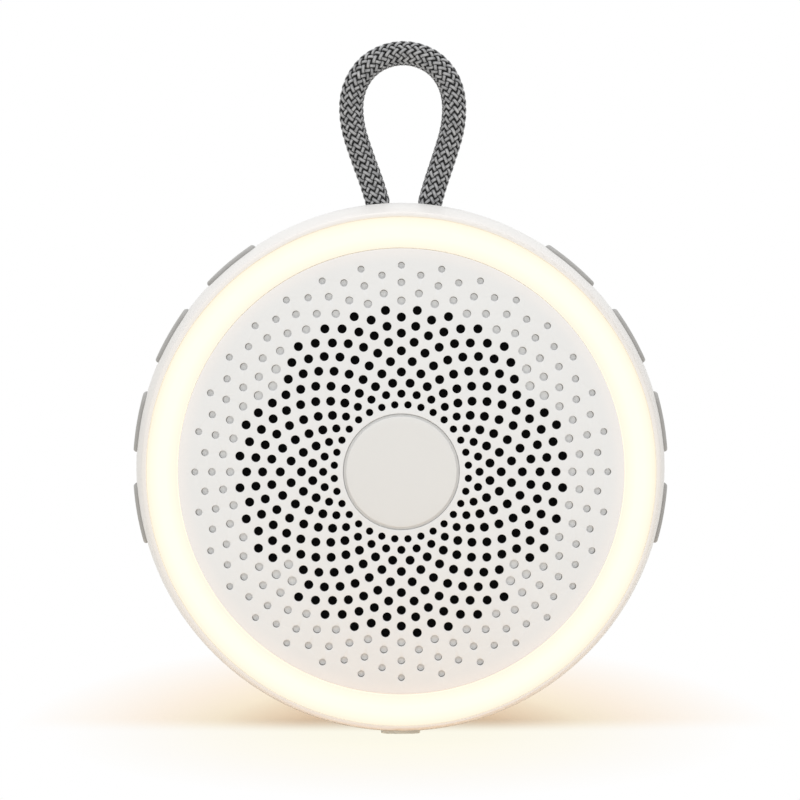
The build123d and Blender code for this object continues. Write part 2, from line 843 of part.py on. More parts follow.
with BuildPart() as speaker_cone:
    with BuildSketch(section):
        with BuildLine():
            Polyline(
                (cone_neck_radius, cone_neck_y),
                (cone_edge_radius - cone_lap, speaker_front_y),
                (cone_edge_radius + skin / 2, speaker_front_y),
                (cone_edge_radius + skin / 2, speaker_front_y + skin),
                (cone_edge_radius - cone_lap, speaker_front_y + skin),
                (cone_neck_radius, cone_neck_y + cone_neck_thickness),
                close=True,
            )
        make_face()
    revolve(axis=machine_axis)
save(speaker_cone, "speaker_cone")

coil_front_y = cone_neck_y - coil_rise
voice_coil = turned(
    (coil_radius, coil_front_y),
    (coil_radius + coil_wall, coil_front_y),
    (coil_radius + coil_wall, coil_front_y + coil_length),
    (coil_radius, coil_front_y + coil_length),
)
save(voice_coil, "voice_coil")

with BuildPart() as dust_cap:
    cap_radius = cone_neck_radius + cap_overhang
    cap_base_y = cone_neck_y - cap_seat
    with BuildSketch(section):
        with BuildLine():
            outer_dome = Spline(
                (cap_radius, cap_base_y), (0, cap_base_y - cap_rise), tangents=[(-1, -0.7), (-1, 0)]
            )
            Line(outer_dome @ 1, (0, cap_base_y - cap_rise + skin))
            inner_dome = Spline(
                (0, cap_base_y - cap_rise + skin),
                (cap_radius, cap_base_y + skin),
                tangents=[(1, 0), (1, 0.7)],
            )
            Line(inner_dome @ 1, outer_dome @ 0)
        make_face()
    revolve(axis=machine_axis)
save(dust_cap, "dust_cap")

spider_y = basket_floor_y - basket_wall - 2 * skin
spider_radius = basket_floor_radius - basket_wall
spider = turned(
    (coil_radius + coil_wall, spider_y),
    (spider_radius, spider_y),
    (spider_radius, basket_floor_y - basket_wall),
    (spider_radius - spider_rim, basket_floor_y - basket_wall),
    (spider_radius - spider_rim, spider_y + skin),
    (coil_radius + coil_wall, spider_y + skin),
)
save(spider, "spider")

top_plate = turned(
    (coil_radius + coil_wall + air_gap, basket_floor_y),
    (iron_radius, basket_floor_y),
    (iron_radius, magnet_front_y),
    (coil_radius + coil_wall + air_gap, magnet_front_y),
)
save(top_plate, "top_plate")

magnet = turned(
    (magnet_bore, magnet_front_y),
    (magnet_radius, magnet_front_y),
    (magnet_radius, magnet_back_y),
    (magnet_bore, magnet_back_y),
)
save(magnet, "magnet")

yoke = turned(
    (0, basket_floor_y),
    (pole_radius, basket_floor_y),
    (pole_radius, magnet_back_y),
    (iron_radius, magnet_back_y),
    (iron_radius, magnet_back_y + iron_thickness),
    (0, magnet_back_y + iron_thickness),
)
save(yoke, "yoke")

# --- main board with its parts, side switches and the charging socket -----------------------------
with BuildPart() as main_board:
    with BuildSketch(depth_plane(board_back_y)):
        Circle(main_board_radius)
        Circle(main_board_bore, mode=Mode.SUBTRACT)
        with PolarLocations(board_post_circle, len(board_post_angles), start_angle=board_post_angles[0]):
            Circle(small_screw_shank + frame_gap, mode=Mode.SUBTRACT)
    extrude(amount=board_thickness)
    for angle in pillar_angles:
        with BuildSketch(depth_plane(board_back_y, angle)):
            with Locations((pillar_circle, 0)):
                Circle(pillar_radius + 2 * frame_gap)
            with Locations((pillar_circle + pillar_radius, 0)):
                Rectangle(2 * pillar_radius, 2 * pillar_radius + 4 * frame_gap)
        extrude(amount=board_thickness, mode=Mode.SUBTRACT)
save(main_board, "main_board")

with BuildPart() as board_chips:
    for x, z, length, width, height in chips:
        with BuildSketch(depth_plane(board_back_y)):
            with Locations((x, z)):
                Rectangle(length, width)
        extrude(amount=-height)
save(board_chips, "board_chips")

plunger_hole = plunger_length - plunger_shown + key_travel + frame_gap
with BuildPart() as side_switches:
    for angle in key_angles["right"] + key_angles["left"]:
        with BuildSketch(rim_plane(angle, switch_face - switch_deep, switch_y)):
            Rectangle(switch_length, switch_height)
        extrude(amount=switch_deep)
        with BuildSketch(rim_plane(angle, switch_face, switch_y)):
            Circle(plunger_radius + plunger_gap)
        extrude(amount=-plunger_hole, mode=Mode.SUBTRACT)
save(side_switches, "side_switches")

with BuildPart() as usb_socket:
    with BuildSketch(rim_plane(socket_angle, socket_mouth, socket_y)):
        SlotOverall(socket_width, socket_height)
    extrude(amount=-socket_length)
    with BuildSketch(rim_plane(socket_angle, socket_mouth, socket_y)):
        SlotOverall(socket_width - 2 * socket_wall, socket_height - 2 * socket_wall)
    extrude(amount=-(socket_length - cut_margin), mode=Mode.SUBTRACT)
    with BuildSketch(rim_plane(socket_angle, socket_mouth - 2 * socket_wall, socket_y)):
        Rectangle(socket_tongue_width, socket_tongue_thickness)
    extrude(amount=-(socket_length - 2 * socket_wall - socket_wall))
save(usb_socket, "usb_socket")

# --- side keys: silicone caps with a flange behind the wall and a nib on each switch --------------
for side, angles in key_angles.items():
    for number, angle in enumerate(angles, 1):
        with BuildPart() as key_cap:
            with BuildSketch(rim_plane(angle, flange_inner)):
                RectangleRounded(key_length, key_width, key_corner)
            extrude(amount=body_radius + key_proud - flange_inner + cut_margin)
            with BuildSketch(section):
                with BuildLine():
                    half = key_width / 2 + cut_margin
                    cap_edge = rim_radius(crown_half, key_proud)
                    top = (body_radius + key_proud, 0)
                    ThreePointArc((cap_edge, crown_half), top, (cap_edge, -crown_half))
                    Polyline(
                        (cap_edge, -crown_half),
                        (rim_radius(half, key_proud), -half),
                        (0, -half),
                        (0, half),
                        (rim_radius(half, key_proud), half),
                        (cap_edge, crown_half),
                    )
                make_face()
            revolve(axis=machine_axis, mode=Mode.INTERSECT)
            outwards = Axis((0, 0, centre_height), rim_plane(angle, 0).z_dir)
            fillet(key_cap.faces().sort_by(outwards)[-1].edges(), key_edge)
        with BuildPart() as side_key:
            with BuildSketch(rim_plane(angle, flange_inner)):
                RectangleRounded(key_length + 2 * key_flange, key_width + 2 * key_flange, key_corner)
            extrude(amount=flange_outer - flange_inner)
            with BuildSketch(section):
                Rectangle(flange_outer, 2 * key_width, align=(Align.MIN, Align.CENTER))
            revolve(axis=machine_axis, mode=Mode.INTERSECT)
            add(key_cap.part)
            with BuildSketch(rim_plane(angle, flange_inner, switch_y)):
                Circle(plunger_radius + nib_overlap)
            extrude(amount=-(flange_inner - switch_face - plunger_shown))
        save(side_key, f"side_key_{side}_{number}")
        with BuildPart() as switch_plunger:
            with BuildSketch(rim_plane(angle, switch_face + plunger_shown, switch_y)):
                Circle(plunger_radius)
            extrude(amount=-plunger_length)
        save(switch_plunger, f"switch_plunger_{side}_{number}")

# --- battery, its pad, plug and cable -------------------------------------------------------------
with BuildPart() as battery:
    with BuildSketch(depth_plane(cover_inner_y - pad_thickness)):
        with Locations((0, -battery_drop)):
            RectangleRounded(battery_width, battery_height, battery_corner)
    extrude(amount=battery_thickness)
save(battery, "battery")

with BuildPart() as battery_pad:
    with BuildSketch(depth_plane(cover_inner_y)):
        with Locations((0, -battery_drop)):
            Rectangle(battery_width - 2 * pad_inset, battery_height - 2 * pad_inset)
    extrude(amount=pad_thickness)
save(battery_pad, "battery_pad")

with BuildPart() as battery_connector:
    with BuildSketch(depth_plane(board_back_y)):
        with Locations((plug_x, -plug_drop)):
            Rectangle(plug_length, plug_width)
    extrude(amount=-plug_height)
save(battery_connector, "battery_connector")

# --- wires ----------------------------------------------------------------------------------------
battery_wire_y = cover_inner_y - pad_thickness - battery_wire_inset
plug_z = centre_height - plug_drop
battery_wire = [
    (-battery_width / 2, battery_wire_y, plug_z),
    (plug_x, battery_wire_y, plug_z),
    (plug_x, board_back_y + plug_height, plug_z),
]
round_wire("battery_cable", battery_wire_radius, [battery_wire], battery_wire_bend)

speaker_wire_circle = speaker_screw_circle - wire_bend
speaker_wires = [
    [
        at_angle(speaker_wire_circle, angle, speaker_front_y + basket_wall),
        at_angle(speaker_wire_circle, angle, board_front_y),
    ]
    for angle in speaker_wire_angles
]
round_wire("speaker_cable", speaker_wire_radius, speaker_wires, wire_bend)

led_wires = [
    [at_angle(led_wire_circle, angle, frame_front_y), at_angle(led_wire_circle, angle, board_front_y)]
    for angle in led_wire_angles
]
round_wire("led_cable", wire_radius, led_wires, wire_bend)

wire_lane_y = button_board_front_y - wire_bend - frame_gap
button_wire = [
    at_angle(button_post_circle, button_wire_angle, button_board_front_y),
    at_angle(button_post_circle, button_wire_angle, wire_lane_y),
    at_angle(button_wire_circle, button_wire_angle, wire_lane_y),
    at_angle(button_wire_circle, button_wire_angle, board_front_y),
]
round_wire("button_cable", wire_radius, [button_wire], wire_bend)

# --- rope loop, its ends inside the housing and the clamp that holds them -------------------------
route = [(x, 0.0, pivot_height + rise) for x, rise in loop_route]
corner_radii = []
for before, corner, after in zip(route, route[1:], route[2:]):
    run_in = Vector(*corner) - Vector(*before)
    run_out = Vector(*after) - Vector(*corner)
    half_turn = math.radians(run_in.get_angle(run_out)) / 2
    corner_radii.append(arc_share * min(run_in.length, run_out.length) / math.tan(half_turn))
print("rope corner radii", [round(radius, 1) for radius in corner_radii])
with BuildPart() as rope_loop:
    with BuildLine() as rope_path:
        FilletPolyline(*route, radius=corner_radii)
    rope_line = rope_path.wire()
    with BuildSketch(Plane(origin=route[0], z_dir=rope_line % 0)):
        Circle(rope_radius)
    sweep(path=rope_line)
    rope_volume = rope_loop.part.volume
    with Locations(route[0], route[-1]):
        Sphere(rope_radius)
swept_volume = math.pi * rope_radius**2 * rope_line.length
print("rope length", round(rope_line.length, 2))
print("rope volume over section times length", round(rope_volume / swept_volume, 5))
save(rope_loop, "rope_loop")

with BuildPart() as rope_ends:
    with BuildSketch(Plane.XY.offset(centre_height + clamp_bottom)):
        with Locations((left_exit, 0), (right_exit, 0)):
            Circle(rope_radius)
    extrude(amount=pivot_height - rope_radius - slip_gap - centre_height - clamp_bottom)
    with BuildSketch(Plane.XY.offset(centre_height + clamp_bottom)):
        with Locations((left_exit, 0), (right_exit, 0)):
            Circle(rope_bulb_radius)
    extrude(amount=-rope_bulb_height)
save(rope_ends, "rope_ends")

with BuildPart() as loop_clamp:
    with BuildSketch(Plane.XY.offset(centre_height + clamp_bottom)):
        with Locations((loop_middle, (clamp_back - clamp_front) / 2)):
            RectangleRounded(clamp_length, clamp_front + clamp_back, clamp_corner)
    extrude(amount=cavity_radius - clamp_bottom)
    with BuildSketch(section):
        Rectangle(cavity_radius - frame_gap / 2, 4 * clamp_front, align=(Align.MIN, Align.CENTER))
    revolve(axis=machine_axis, mode=Mode.INTERSECT)
    with BuildSketch(Plane.XY.offset(centre_height + clamp_bottom)):
        with Locations((left_exit, 0), (right_exit, 0)):
            Circle(rope_radius + thread_clearance)
    extrude(amount=cavity_radius, mode=Mode.SUBTRACT)
    with BuildSketch(depth_plane(clamp_back)):
        with Locations((loop_middle, clamp_screw_height)):
            Circle(small_screw_shank + frame_gap)
    extrude(amount=clamp_back + clamp_front, mode=Mode.SUBTRACT)
    with BuildSketch(depth_plane(clamp_back)):
        with Locations((loop_middle, clamp_screw_height)):
            Circle(small_screw_head + frame_gap)
    extrude(amount=small_screw_head_height + frame_gap, mode=Mode.SUBTRACT)
save(loop_clamp, "loop_clamp")

# --- foot -----------------------------------------------------------------------------------------
with BuildPart() as rubber_foot:
    with BuildSketch(Plane.XY):
        RectangleRounded(foot_width, foot_depth, foot_width / 4)
    extrude(amount=centre_height - foot_seat)
    with BuildSketch(Plane.XY.offset(centre_height - foot_seat)):
        with GridLocations(1, foot_peg_spacing, 1, 2):
            Circle(foot_peg_radius)
    extrude(amount=foot_seat - cavity_radius)
save(rubber_foot, "rubber_foot")

# --- screws ---------------------------------------------------------------------------------------
screws(
    "case_screws",
    back_y - case_screw_recess,
    pillar_circle,
    pillar_angles,
    case_screw_head,
    case_screw_head_height,
    case_screw_shank,
    back_y - case_screw_recess - parting_y + case_screw_length - screw_tip_gap,
)
small_screw = (small_screw_head, small_screw_head_height, small_screw_shank)
plate_bite = frame_front_y - grille_back_y - post_floor
screws(
    "frame_screws",
    frame_back_y,
    grille_post_circle,
    grille_post_angles,
    *small_screw,
    frame_thickness + plate_bite - screw_tip_gap / 2,
)
screws(
    "board_screws",
    board_back_y,
    board_post_circle,
    board_post_angles,
    *small_screw,
    board_thickness + screw_bite - screw_tip_gap,
)
screws(
    "speaker_screws",
    speaker_front_y + basket_wall,
    speaker_screw_circle,
    speaker_screw_angles,
    *small_screw,
    basket_wall + gasket_thickness + frame_thickness - frame_gap,
)
clamp_screw_turn = math.degrees(math.atan2(clamp_screw_height, loop_middle))
clamp_screw_circle = math.hypot(clamp_screw_height, loop_middle)
screws(
    "clamp_screw",
    clamp_back - small_screw_head_height - frame_gap,
    clamp_screw_circle,
    [clamp_screw_turn],
    *small_screw,
    clamp_back + clamp_front - small_screw_head_height + clamp_screw_bite,
)
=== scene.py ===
# %% [markdown]
# # A round white noise machine
# The solid model already stands in its place, at its real size, as a fixed frame of named nodes and bodies.
# Nothing here moves or resizes it. Each visible piece either keeps its solid and gets a finish, or is
# modelled again with more detail around the same sizes and stands in for its solid.

# %% Load the frame
import bisect
import itertools
import json
import math

import bmesh
import bpy
from mathutils import Matrix, Vector
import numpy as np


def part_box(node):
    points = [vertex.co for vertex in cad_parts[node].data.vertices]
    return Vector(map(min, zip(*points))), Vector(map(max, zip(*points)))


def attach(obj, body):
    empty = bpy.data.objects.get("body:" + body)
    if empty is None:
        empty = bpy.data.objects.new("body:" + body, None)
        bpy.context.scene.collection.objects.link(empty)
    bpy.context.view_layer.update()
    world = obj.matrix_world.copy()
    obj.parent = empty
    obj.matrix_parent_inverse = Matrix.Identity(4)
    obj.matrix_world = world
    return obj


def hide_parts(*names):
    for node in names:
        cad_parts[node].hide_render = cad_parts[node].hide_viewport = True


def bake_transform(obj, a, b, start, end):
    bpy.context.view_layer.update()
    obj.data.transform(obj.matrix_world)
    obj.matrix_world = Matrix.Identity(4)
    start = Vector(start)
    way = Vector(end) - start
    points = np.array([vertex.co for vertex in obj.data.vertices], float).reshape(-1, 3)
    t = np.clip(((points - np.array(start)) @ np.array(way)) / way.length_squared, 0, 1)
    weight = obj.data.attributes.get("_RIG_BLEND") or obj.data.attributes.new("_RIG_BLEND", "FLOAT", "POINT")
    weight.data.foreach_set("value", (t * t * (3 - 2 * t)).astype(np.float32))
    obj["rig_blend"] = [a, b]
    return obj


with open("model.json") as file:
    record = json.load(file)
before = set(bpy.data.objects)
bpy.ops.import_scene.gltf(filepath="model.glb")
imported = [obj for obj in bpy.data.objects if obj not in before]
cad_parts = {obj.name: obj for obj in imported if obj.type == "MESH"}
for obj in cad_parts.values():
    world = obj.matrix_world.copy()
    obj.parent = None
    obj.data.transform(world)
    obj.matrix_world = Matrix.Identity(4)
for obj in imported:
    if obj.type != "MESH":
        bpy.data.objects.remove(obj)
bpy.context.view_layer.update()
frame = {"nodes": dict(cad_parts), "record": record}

MM = 0.001
centre = Vector((0.0, 0.0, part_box("light_ring")[0].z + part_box("light_ring")[1].z)) / 2
front_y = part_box("light_ring")[0].y
print("middle of the round body", round(centre.z / MM, 2), "mm up; its front at y =", round(front_y / MM, 2))

# %% [markdown]
# ## The camera
# A long lens from a little above the floor keeps the front plate round. The camera stands 60 cm away, a
# touch to the left of the middle, and looks at a point above the middle of the body, so that the rope
# loop is in the picture too. It is made first, because cords are judged by what it sees.

# %% Camera
camera_distance = 0.600
camera_elevation = math.radians(1.9)
camera_azimuth = math.radians(-0.5)
field_of_view = math.radians(13.70)
looked_at = Vector((-0.09 * MM, 0.0, 59.78 * MM))


def from_the_front(azimuth, elevation):
    """The direction from the object to a viewer: azimuth 0 is in front, and elevation is above the floor."""
    flat = math.cos(elevation)
    return Vector((math.sin(azimuth) * flat, -math.cos(azimuth) * flat, math.sin(elevation)))


camera = bpy.data.objects.new("camera", bpy.data.cameras.new("camera"))
bpy.context.collection.objects.link(camera)
camera.data.angle = field_of_view
camera.location = looked_at + from_the_front(camera_azimuth, camera_elevation) * camera_distance
camera.rotation_euler = (looked_at - camera.location).to_track_quat("-Z", "Y").to_euler()
camera.data.clip_start = 0.01
bpy.context.scene.camera = camera
print("lens", round(camera.data.lens, 1), "mm")

# %% [markdown]
# ## Building blocks for materials
# Every finish below is made of shader nodes that read Object coordinates, which are metres on the real
# piece, so a grain of 0.3 mm is 0.3 mm everywhere. Three small helpers keep the recipes short: one opens
# a new material, one makes a noise pattern of a stated size, and one turns a pattern into colours.

# %% Material helpers
def new_material(name):
    """A new material, with its node tree and its main shader."""
    material = bpy.data.materials.new(name)
    material.use_nodes = True
    return material, material.node_tree, material.node_tree.nodes["Principled BSDF"]


def placed(tree, scale=(1, 1, 1), move=(0, 0, 0), coordinates="Object"):
    """Coordinates of the surface, moved and then scaled."""
    source = tree.nodes.new("ShaderNodeTexCoord")
    if coordinates == "UV":
        source = tree.nodes.new("ShaderNodeUVMap")
        source.uv_map = "yarn"
    mapping = tree.nodes.new("ShaderNodeMapping")
    mapping.inputs["Location"].default_value = [m * s for m, s in zip(move, scale)]
    mapping.inputs["Scale"].default_value = scale
    tree.links.new(source.outputs[coordinates], mapping.inputs["Vector"])
    return mapping.outputs["Vector"]


def noise(tree, size, detail=3.0, stretch=(1, 1, 1), coordinates="Object"):
    """A noise pattern with spots of about one size in metres, longer along an axis where it is stretched."""
    pattern = tree.nodes.new("ShaderNodeTexNoise")
    pattern.inputs["Scale"].default_value = 1.0
    pattern.inputs["Detail"].default_value = detail
    scale = [1 / (size * longer) for longer in stretch]
    tree.links.new(placed(tree, scale, coordinates=coordinates), pattern.inputs["Vector"])
    return pattern.outputs["Fac"]


def math_node(tree, operation, *values):
    """One sum on a few values, each a socket or a plain number."""
    node = tree.nodes.new("ShaderNodeMath")
    node.operation = operation
    for socket, value in zip(node.inputs, values):
        if isinstance(value, bpy.types.NodeSocket):
            tree.links.new(value, socket)
        else:
            socket.default_value = value
    return node.outputs["Value"]


def spread(tree, value, start, end, low=0.0, high=1.0):
    """Move a value from one range into another, and keep it inside."""
    node = tree.nodes.new("ShaderNodeMapRange")
    node.interpolation_type = "SMOOTHSTEP"
    tree.links.new(value, node.inputs["Value"])
    for name, number in zip(("From Min", "From Max", "To Min", "To Max"), (start, end, low, high)):
        node.inputs[name].default_value = number
    return node.outputs["Result"]


def colours(tree, value, stops):
    """Colours along a value: each stop is a place from 0 to 1 and a colour."""
    ramp = tree.nodes.new("ShaderNodeValToRGB")
    while len(ramp.color_ramp.elements) < len(stops):
        ramp.color_ramp.elements.new(0.5)
    for element, (place, colour) in zip(ramp.color_ramp.elements, stops):
        element.position = place
        element.color = (*colour, 1.0)
    tree.links.new(value, ramp.inputs["Fac"])
    return ramp.outputs["Color"]


def raised(tree, shader, height, depth, strength=1.0):
    """Bump: the pattern's full range stands this many metres high."""
    bump = tree.nodes.new("ShaderNodeBump")
    bump.inputs["Distance"].default_value = depth
    bump.inputs["Strength"].default_value = strength
    tree.links.new(height, bump.inputs["Height"])
    tree.links.new(bump.outputs["Normal"], shader.inputs["Normal"])


def shade(colour, factor):
    """The same colour, lighter or darker."""
    return tuple(min(1.0, channel * factor) for channel in colour)


def srgb(red, green, blue):
    """A colour as it is read on a screen, from 0 to 255, in the linear values that a shader needs."""
    parts = [value / 255 for value in (red, green, blue)]
    return tuple(v / 12.92 if v <= 0.04045 else ((v + 0.055) / 1.055) ** 2.4 for v in parts)


# %% [markdown]
# ## A recipe for moulded and cast surfaces
# Most of the machine is moulded. A real mould leaves a fine grain, the colour drifts a little from place
# to place, and the gloss is never quite even. `moulded` puts these three together: a fine noise for the
# bump, a broad noise for the colour, and a middle one for the roughness. Gloss, coat and sheen that are
# the same all over are set straight on the shader's own sockets.

# %% Recipe for moulded surfaces
def moulded(name, colour, roughness, grain=0.22 * MM, depth=0.004 * MM, drift=0.03, **sockets):
    """A moulded, cast or plated surface with grain, drifting colour and uneven gloss."""
    material, tree, shader = new_material(name)
    broad = noise(tree, 14 * MM, detail=2.0)
    stops = [(0.35, shade(colour, 1 - drift)), (0.65, shade(colour, 1 + drift))]
    tree.links.new(colours(tree, broad, stops), shader.inputs["Base Color"])
    patchy = noise(tree, 3 * MM)
    rough = spread(tree, patchy, 0.3, 0.7, roughness - 0.05, min(1.0, roughness + 0.05))
    tree.links.new(rough, shader.inputs["Roughness"])
    raised(tree, shader, noise(tree, grain, detail=2.0), depth)
    for socket, value in sockets.items():
        shader.inputs[socket.replace("_", " ").title().replace("Ior", "IOR")].default_value = value
    return material


# %% [markdown]
# The outer plastic is a warm white with a fine, even grain, like a spark-eroded mould leaves. The disc in
# the middle is a shade greyer. The keys are matt silicone, which shows a soft sheen at a low angle. The
# foot is milky clear silicone, which lets some light through.

# %% Outer finishes
white_finish = {"grain": 0.26 * MM, "depth": 0.0007 * MM, "drift": 0.006, "specular_ior_level": 0.3}
white_plastic = moulded("white_plastic", srgb(240, 240, 239), 0.5, **white_finish)
disc_finish = {"grain": 0.2 * MM, "depth": 0.0007 * MM, "drift": 0.006}
grey_plastic = moulded("grey_plastic", srgb(230, 230, 229), 0.42, **disc_finish)
grey_silicone = moulded("grey_silicone", srgb(172, 171, 169), 0.68, drift=0.02, sheen_weight=0.25)
foot_silicone = moulded("foot_silicone", srgb(244, 240, 232), 0.45, drift=0.02, transmission_weight=0.6)
print("outer finishes ready")

# %% [markdown]
# ## The finish of the lit ring
# The ring is milky plastic with lamps behind it. From outside it seems to glow by itself: nearly white
# along its middle line and a warmer cream towards both edges, where less light gets through. The distance
# from the machine's axis drives a ramp of emission colours. The strength stays at 1, which is white. The
# ring is no brighter than the room, so it isn't sampled as a lamp: rays find it anyway, with less noise.

# %% Lit ring
ring_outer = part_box("light_ring")[1].x
ring_width = 5.3 * MM
cloudiness = 0.06


def axis_distance(tree):
    """Distance of the surface from the machine's axis, in metres."""
    flat = tree.nodes.new("ShaderNodeVectorMath")
    flat.operation = "MULTIPLY"
    flat.inputs[1].default_value = (1, 0, 1)
    tree.links.new(placed(tree, move=-centre), flat.inputs[0])
    length = tree.nodes.new("ShaderNodeVectorMath")
    length.operation = "LENGTH"
    tree.links.new(flat.outputs["Vector"], length.inputs[0])
    return length.outputs["Value"]


def lit_diffuser():
    """Milky plastic that glows warm white, softer towards its edges."""
    material, tree, shader = new_material("diffuser")
    across = tree.nodes.new("ShaderNodeMapRange")
    tree.links.new(axis_distance(tree), across.inputs["Value"])
    across.inputs["From Min"].default_value = ring_outer - ring_width
    across.inputs["From Max"].default_value = ring_outer
    cloudy = math_node(tree, "MULTIPLY", noise(tree, 9 * MM), cloudiness)
    shifted = math_node(tree, "SUBTRACT", cloudy, cloudiness / 2)
    place = math_node(tree, "ADD", across.outputs["Result"], shifted)
    stops = [
        (0.00, srgb(250, 240, 220)),
        (0.16, srgb(252, 245, 226)),
        (0.36, srgb(252, 249, 234)),
        (0.62, srgb(252, 249, 234)),
        (0.84, srgb(251, 245, 226)),
        (1.00, srgb(248, 238, 216)),
    ]
    tree.links.new(colours(tree, place, stops), shader.inputs["Emission Color"])
    shader.inputs["Emission Strength"].default_value = 1.0
    shader.inputs["Base Color"].default_value = (0.06, 0.055, 0.045, 1.0)
    rough = spread(tree, noise(tree, 2 * MM), 0.3, 0.7, 0.45, 0.6)
    tree.links.new(rough, shader.inputs["Roughness"])
    material.cycles.emission_sampling = "NONE"
    return material


diffuser = lit_diffuser()
print("ring from", round((ring_outer - ring_width) / MM, 2), "to", round(ring_outer / MM, 2), "mm")

# %% [markdown]
# Beside the ring the white plastic gets a painted glow, which stands in for the ring's light falling on it.
# The rim outside the ring and the edge of the plate inside it get their own versions of the white: a weak
# warm emission, painted light, that is strongest at the ring and gone a few millimetres away.

# %% White plastic beside the ring
def painted_glow_white(name, colour, dark_distance, lit_distance, strength):
    """White plastic with a painted glow for the ring's light, stronger and stronger between two distances
    from the axis.
    """
    material = moulded(name, colour, 0.5, **white_finish)
    tree = material.node_tree
    shader = tree.nodes["Principled BSDF"]
    # Painted glow: a weak warm emission stands in for the ring's light falling on the white plastic.
    shader.inputs["Emission Color"].default_value = (*srgb(255, 190, 140), 1.0)
    glow = spread(tree, axis_distance(tree), dark_distance, lit_distance, 0.0, strength)
    tree.links.new(glow, shader.inputs["Emission Strength"])
    material.cycles.emission_sampling = "NONE"
    return material


ring_inner = ring_outer - ring_width
painted_glow_rim = painted_glow_white("painted_glow_rim", srgb(238, 237, 235), ring_outer + 3 * MM, ring_outer, 0.05)
painted_glow_plate = painted_glow_white("painted_glow_plate", srgb(238, 239, 240), ring_inner - 3 * MM, ring_inner, 0.06)
print("glowing whites ready")

# %% [markdown]
# ## Woven and wound finishes
# Cloth is two sets of threads at right angles. Two bands of waves, one across x and one across z, give
# the threads, and their product gives the raised crossings. The speaker's black dust cloth has threads of
# 0.35 mm; the spider is the same weave in amber. Copper windings are waves along the coil's axis.

# %% Woven, wound and printed finishes
def waves(tree, axis, size):
    """Parallel bands across one axis, from 0 to 1, one band to a size in metres."""
    split = tree.nodes.new("ShaderNodeSeparateXYZ")
    tree.links.new(placed(tree), split.inputs["Vector"])
    wave = math_node(tree, "SINE", math_node(tree, "MULTIPLY", split.outputs[axis], math.tau / size))
    return math_node(tree, "MULTIPLY_ADD", wave, 0.5, 0.5)


def woven(name, colour, thread):
    """A plain weave across x and z."""
    material, tree, shader = new_material(name)
    weave = math_node(tree, "MULTIPLY", waves(tree, "X", thread), waves(tree, "Z", thread))
    fuzzy = math_node(tree, "MULTIPLY", weave, spread(tree, noise(tree, 0.2 * MM), 0.2, 0.8, 0.6, 1.0))
    stops = [(0.1, shade(colour, 0.35)), (0.8, colour)]
    tree.links.new(colours(tree, fuzzy, stops), shader.inputs["Base Color"])
    shader.inputs["Roughness"].default_value = 0.9
    raised(tree, shader, fuzzy, thread / 4)
    return material


def wound_wire(name, colour, turn):
    """Turns of enamelled wire, laid side by side along the machine's axis."""
    material, tree, shader = new_material(name)
    turns = waves(tree, "Y", turn)
    stops = [(0.0, shade(colour, 0.4)), (0.6, colour)]
    tree.links.new(colours(tree, turns, stops), shader.inputs["Base Color"])
    shader.inputs["Metallic"].default_value = 0.9
    rough = spread(tree, noise(tree, 0.4 * MM), 0.3, 0.7, 0.25, 0.4)
    tree.links.new(rough, shader.inputs["Roughness"])
    raised(tree, shader, turns, turn / 3)
    return material


def circuit_board(name, colour, copper):
    """Lacquered board: the lacquer is lighter over the copper tracks, which stand up a little."""
    material, tree, shader = new_material(name)
    cells = tree.nodes.new("ShaderNodeTexVoronoi")
    cells.distance = "CHEBYCHEV"
    cells.feature = "DISTANCE_TO_EDGE"
    cells.inputs["Scale"].default_value = 1.0
    tree.links.new(placed(tree, (1 / (2.2 * MM),) * 3), cells.inputs["Vector"])
    tracks = spread(tree, cells.outputs["Distance"], 0.06, 0.10)
    tree.links.new(colours(tree, tracks, [(0.0, copper), (1.0, colour)]), shader.inputs["Base Color"])
    shader.inputs["Roughness"].default_value = 0.35
    raised(tree, shader, tracks, -0.03 * MM)
    return material


def brushed(name, colour, roughness, along="Y"):
    """Plated metal with fine drawn lines."""
    material, tree, shader = new_material(name)
    stretch = [30 if axis == along else 1 for axis in "XYZ"]
    lines = noise(tree, 0.12 * MM, stretch=stretch)
    stops = [(0.3, shade(colour, 0.88)), (0.7, shade(colour, 1.06))]
    tree.links.new(colours(tree, lines, stops), shader.inputs["Base Color"])
    rough = spread(tree, lines, 0.3, 0.7, roughness - 0.06, roughness + 0.08)
    tree.links.new(rough, shader.inputs["Roughness"])
    shader.inputs["Metallic"].default_value = 1.0
    raised(tree, shader, lines, 0.003 * MM)
    return material
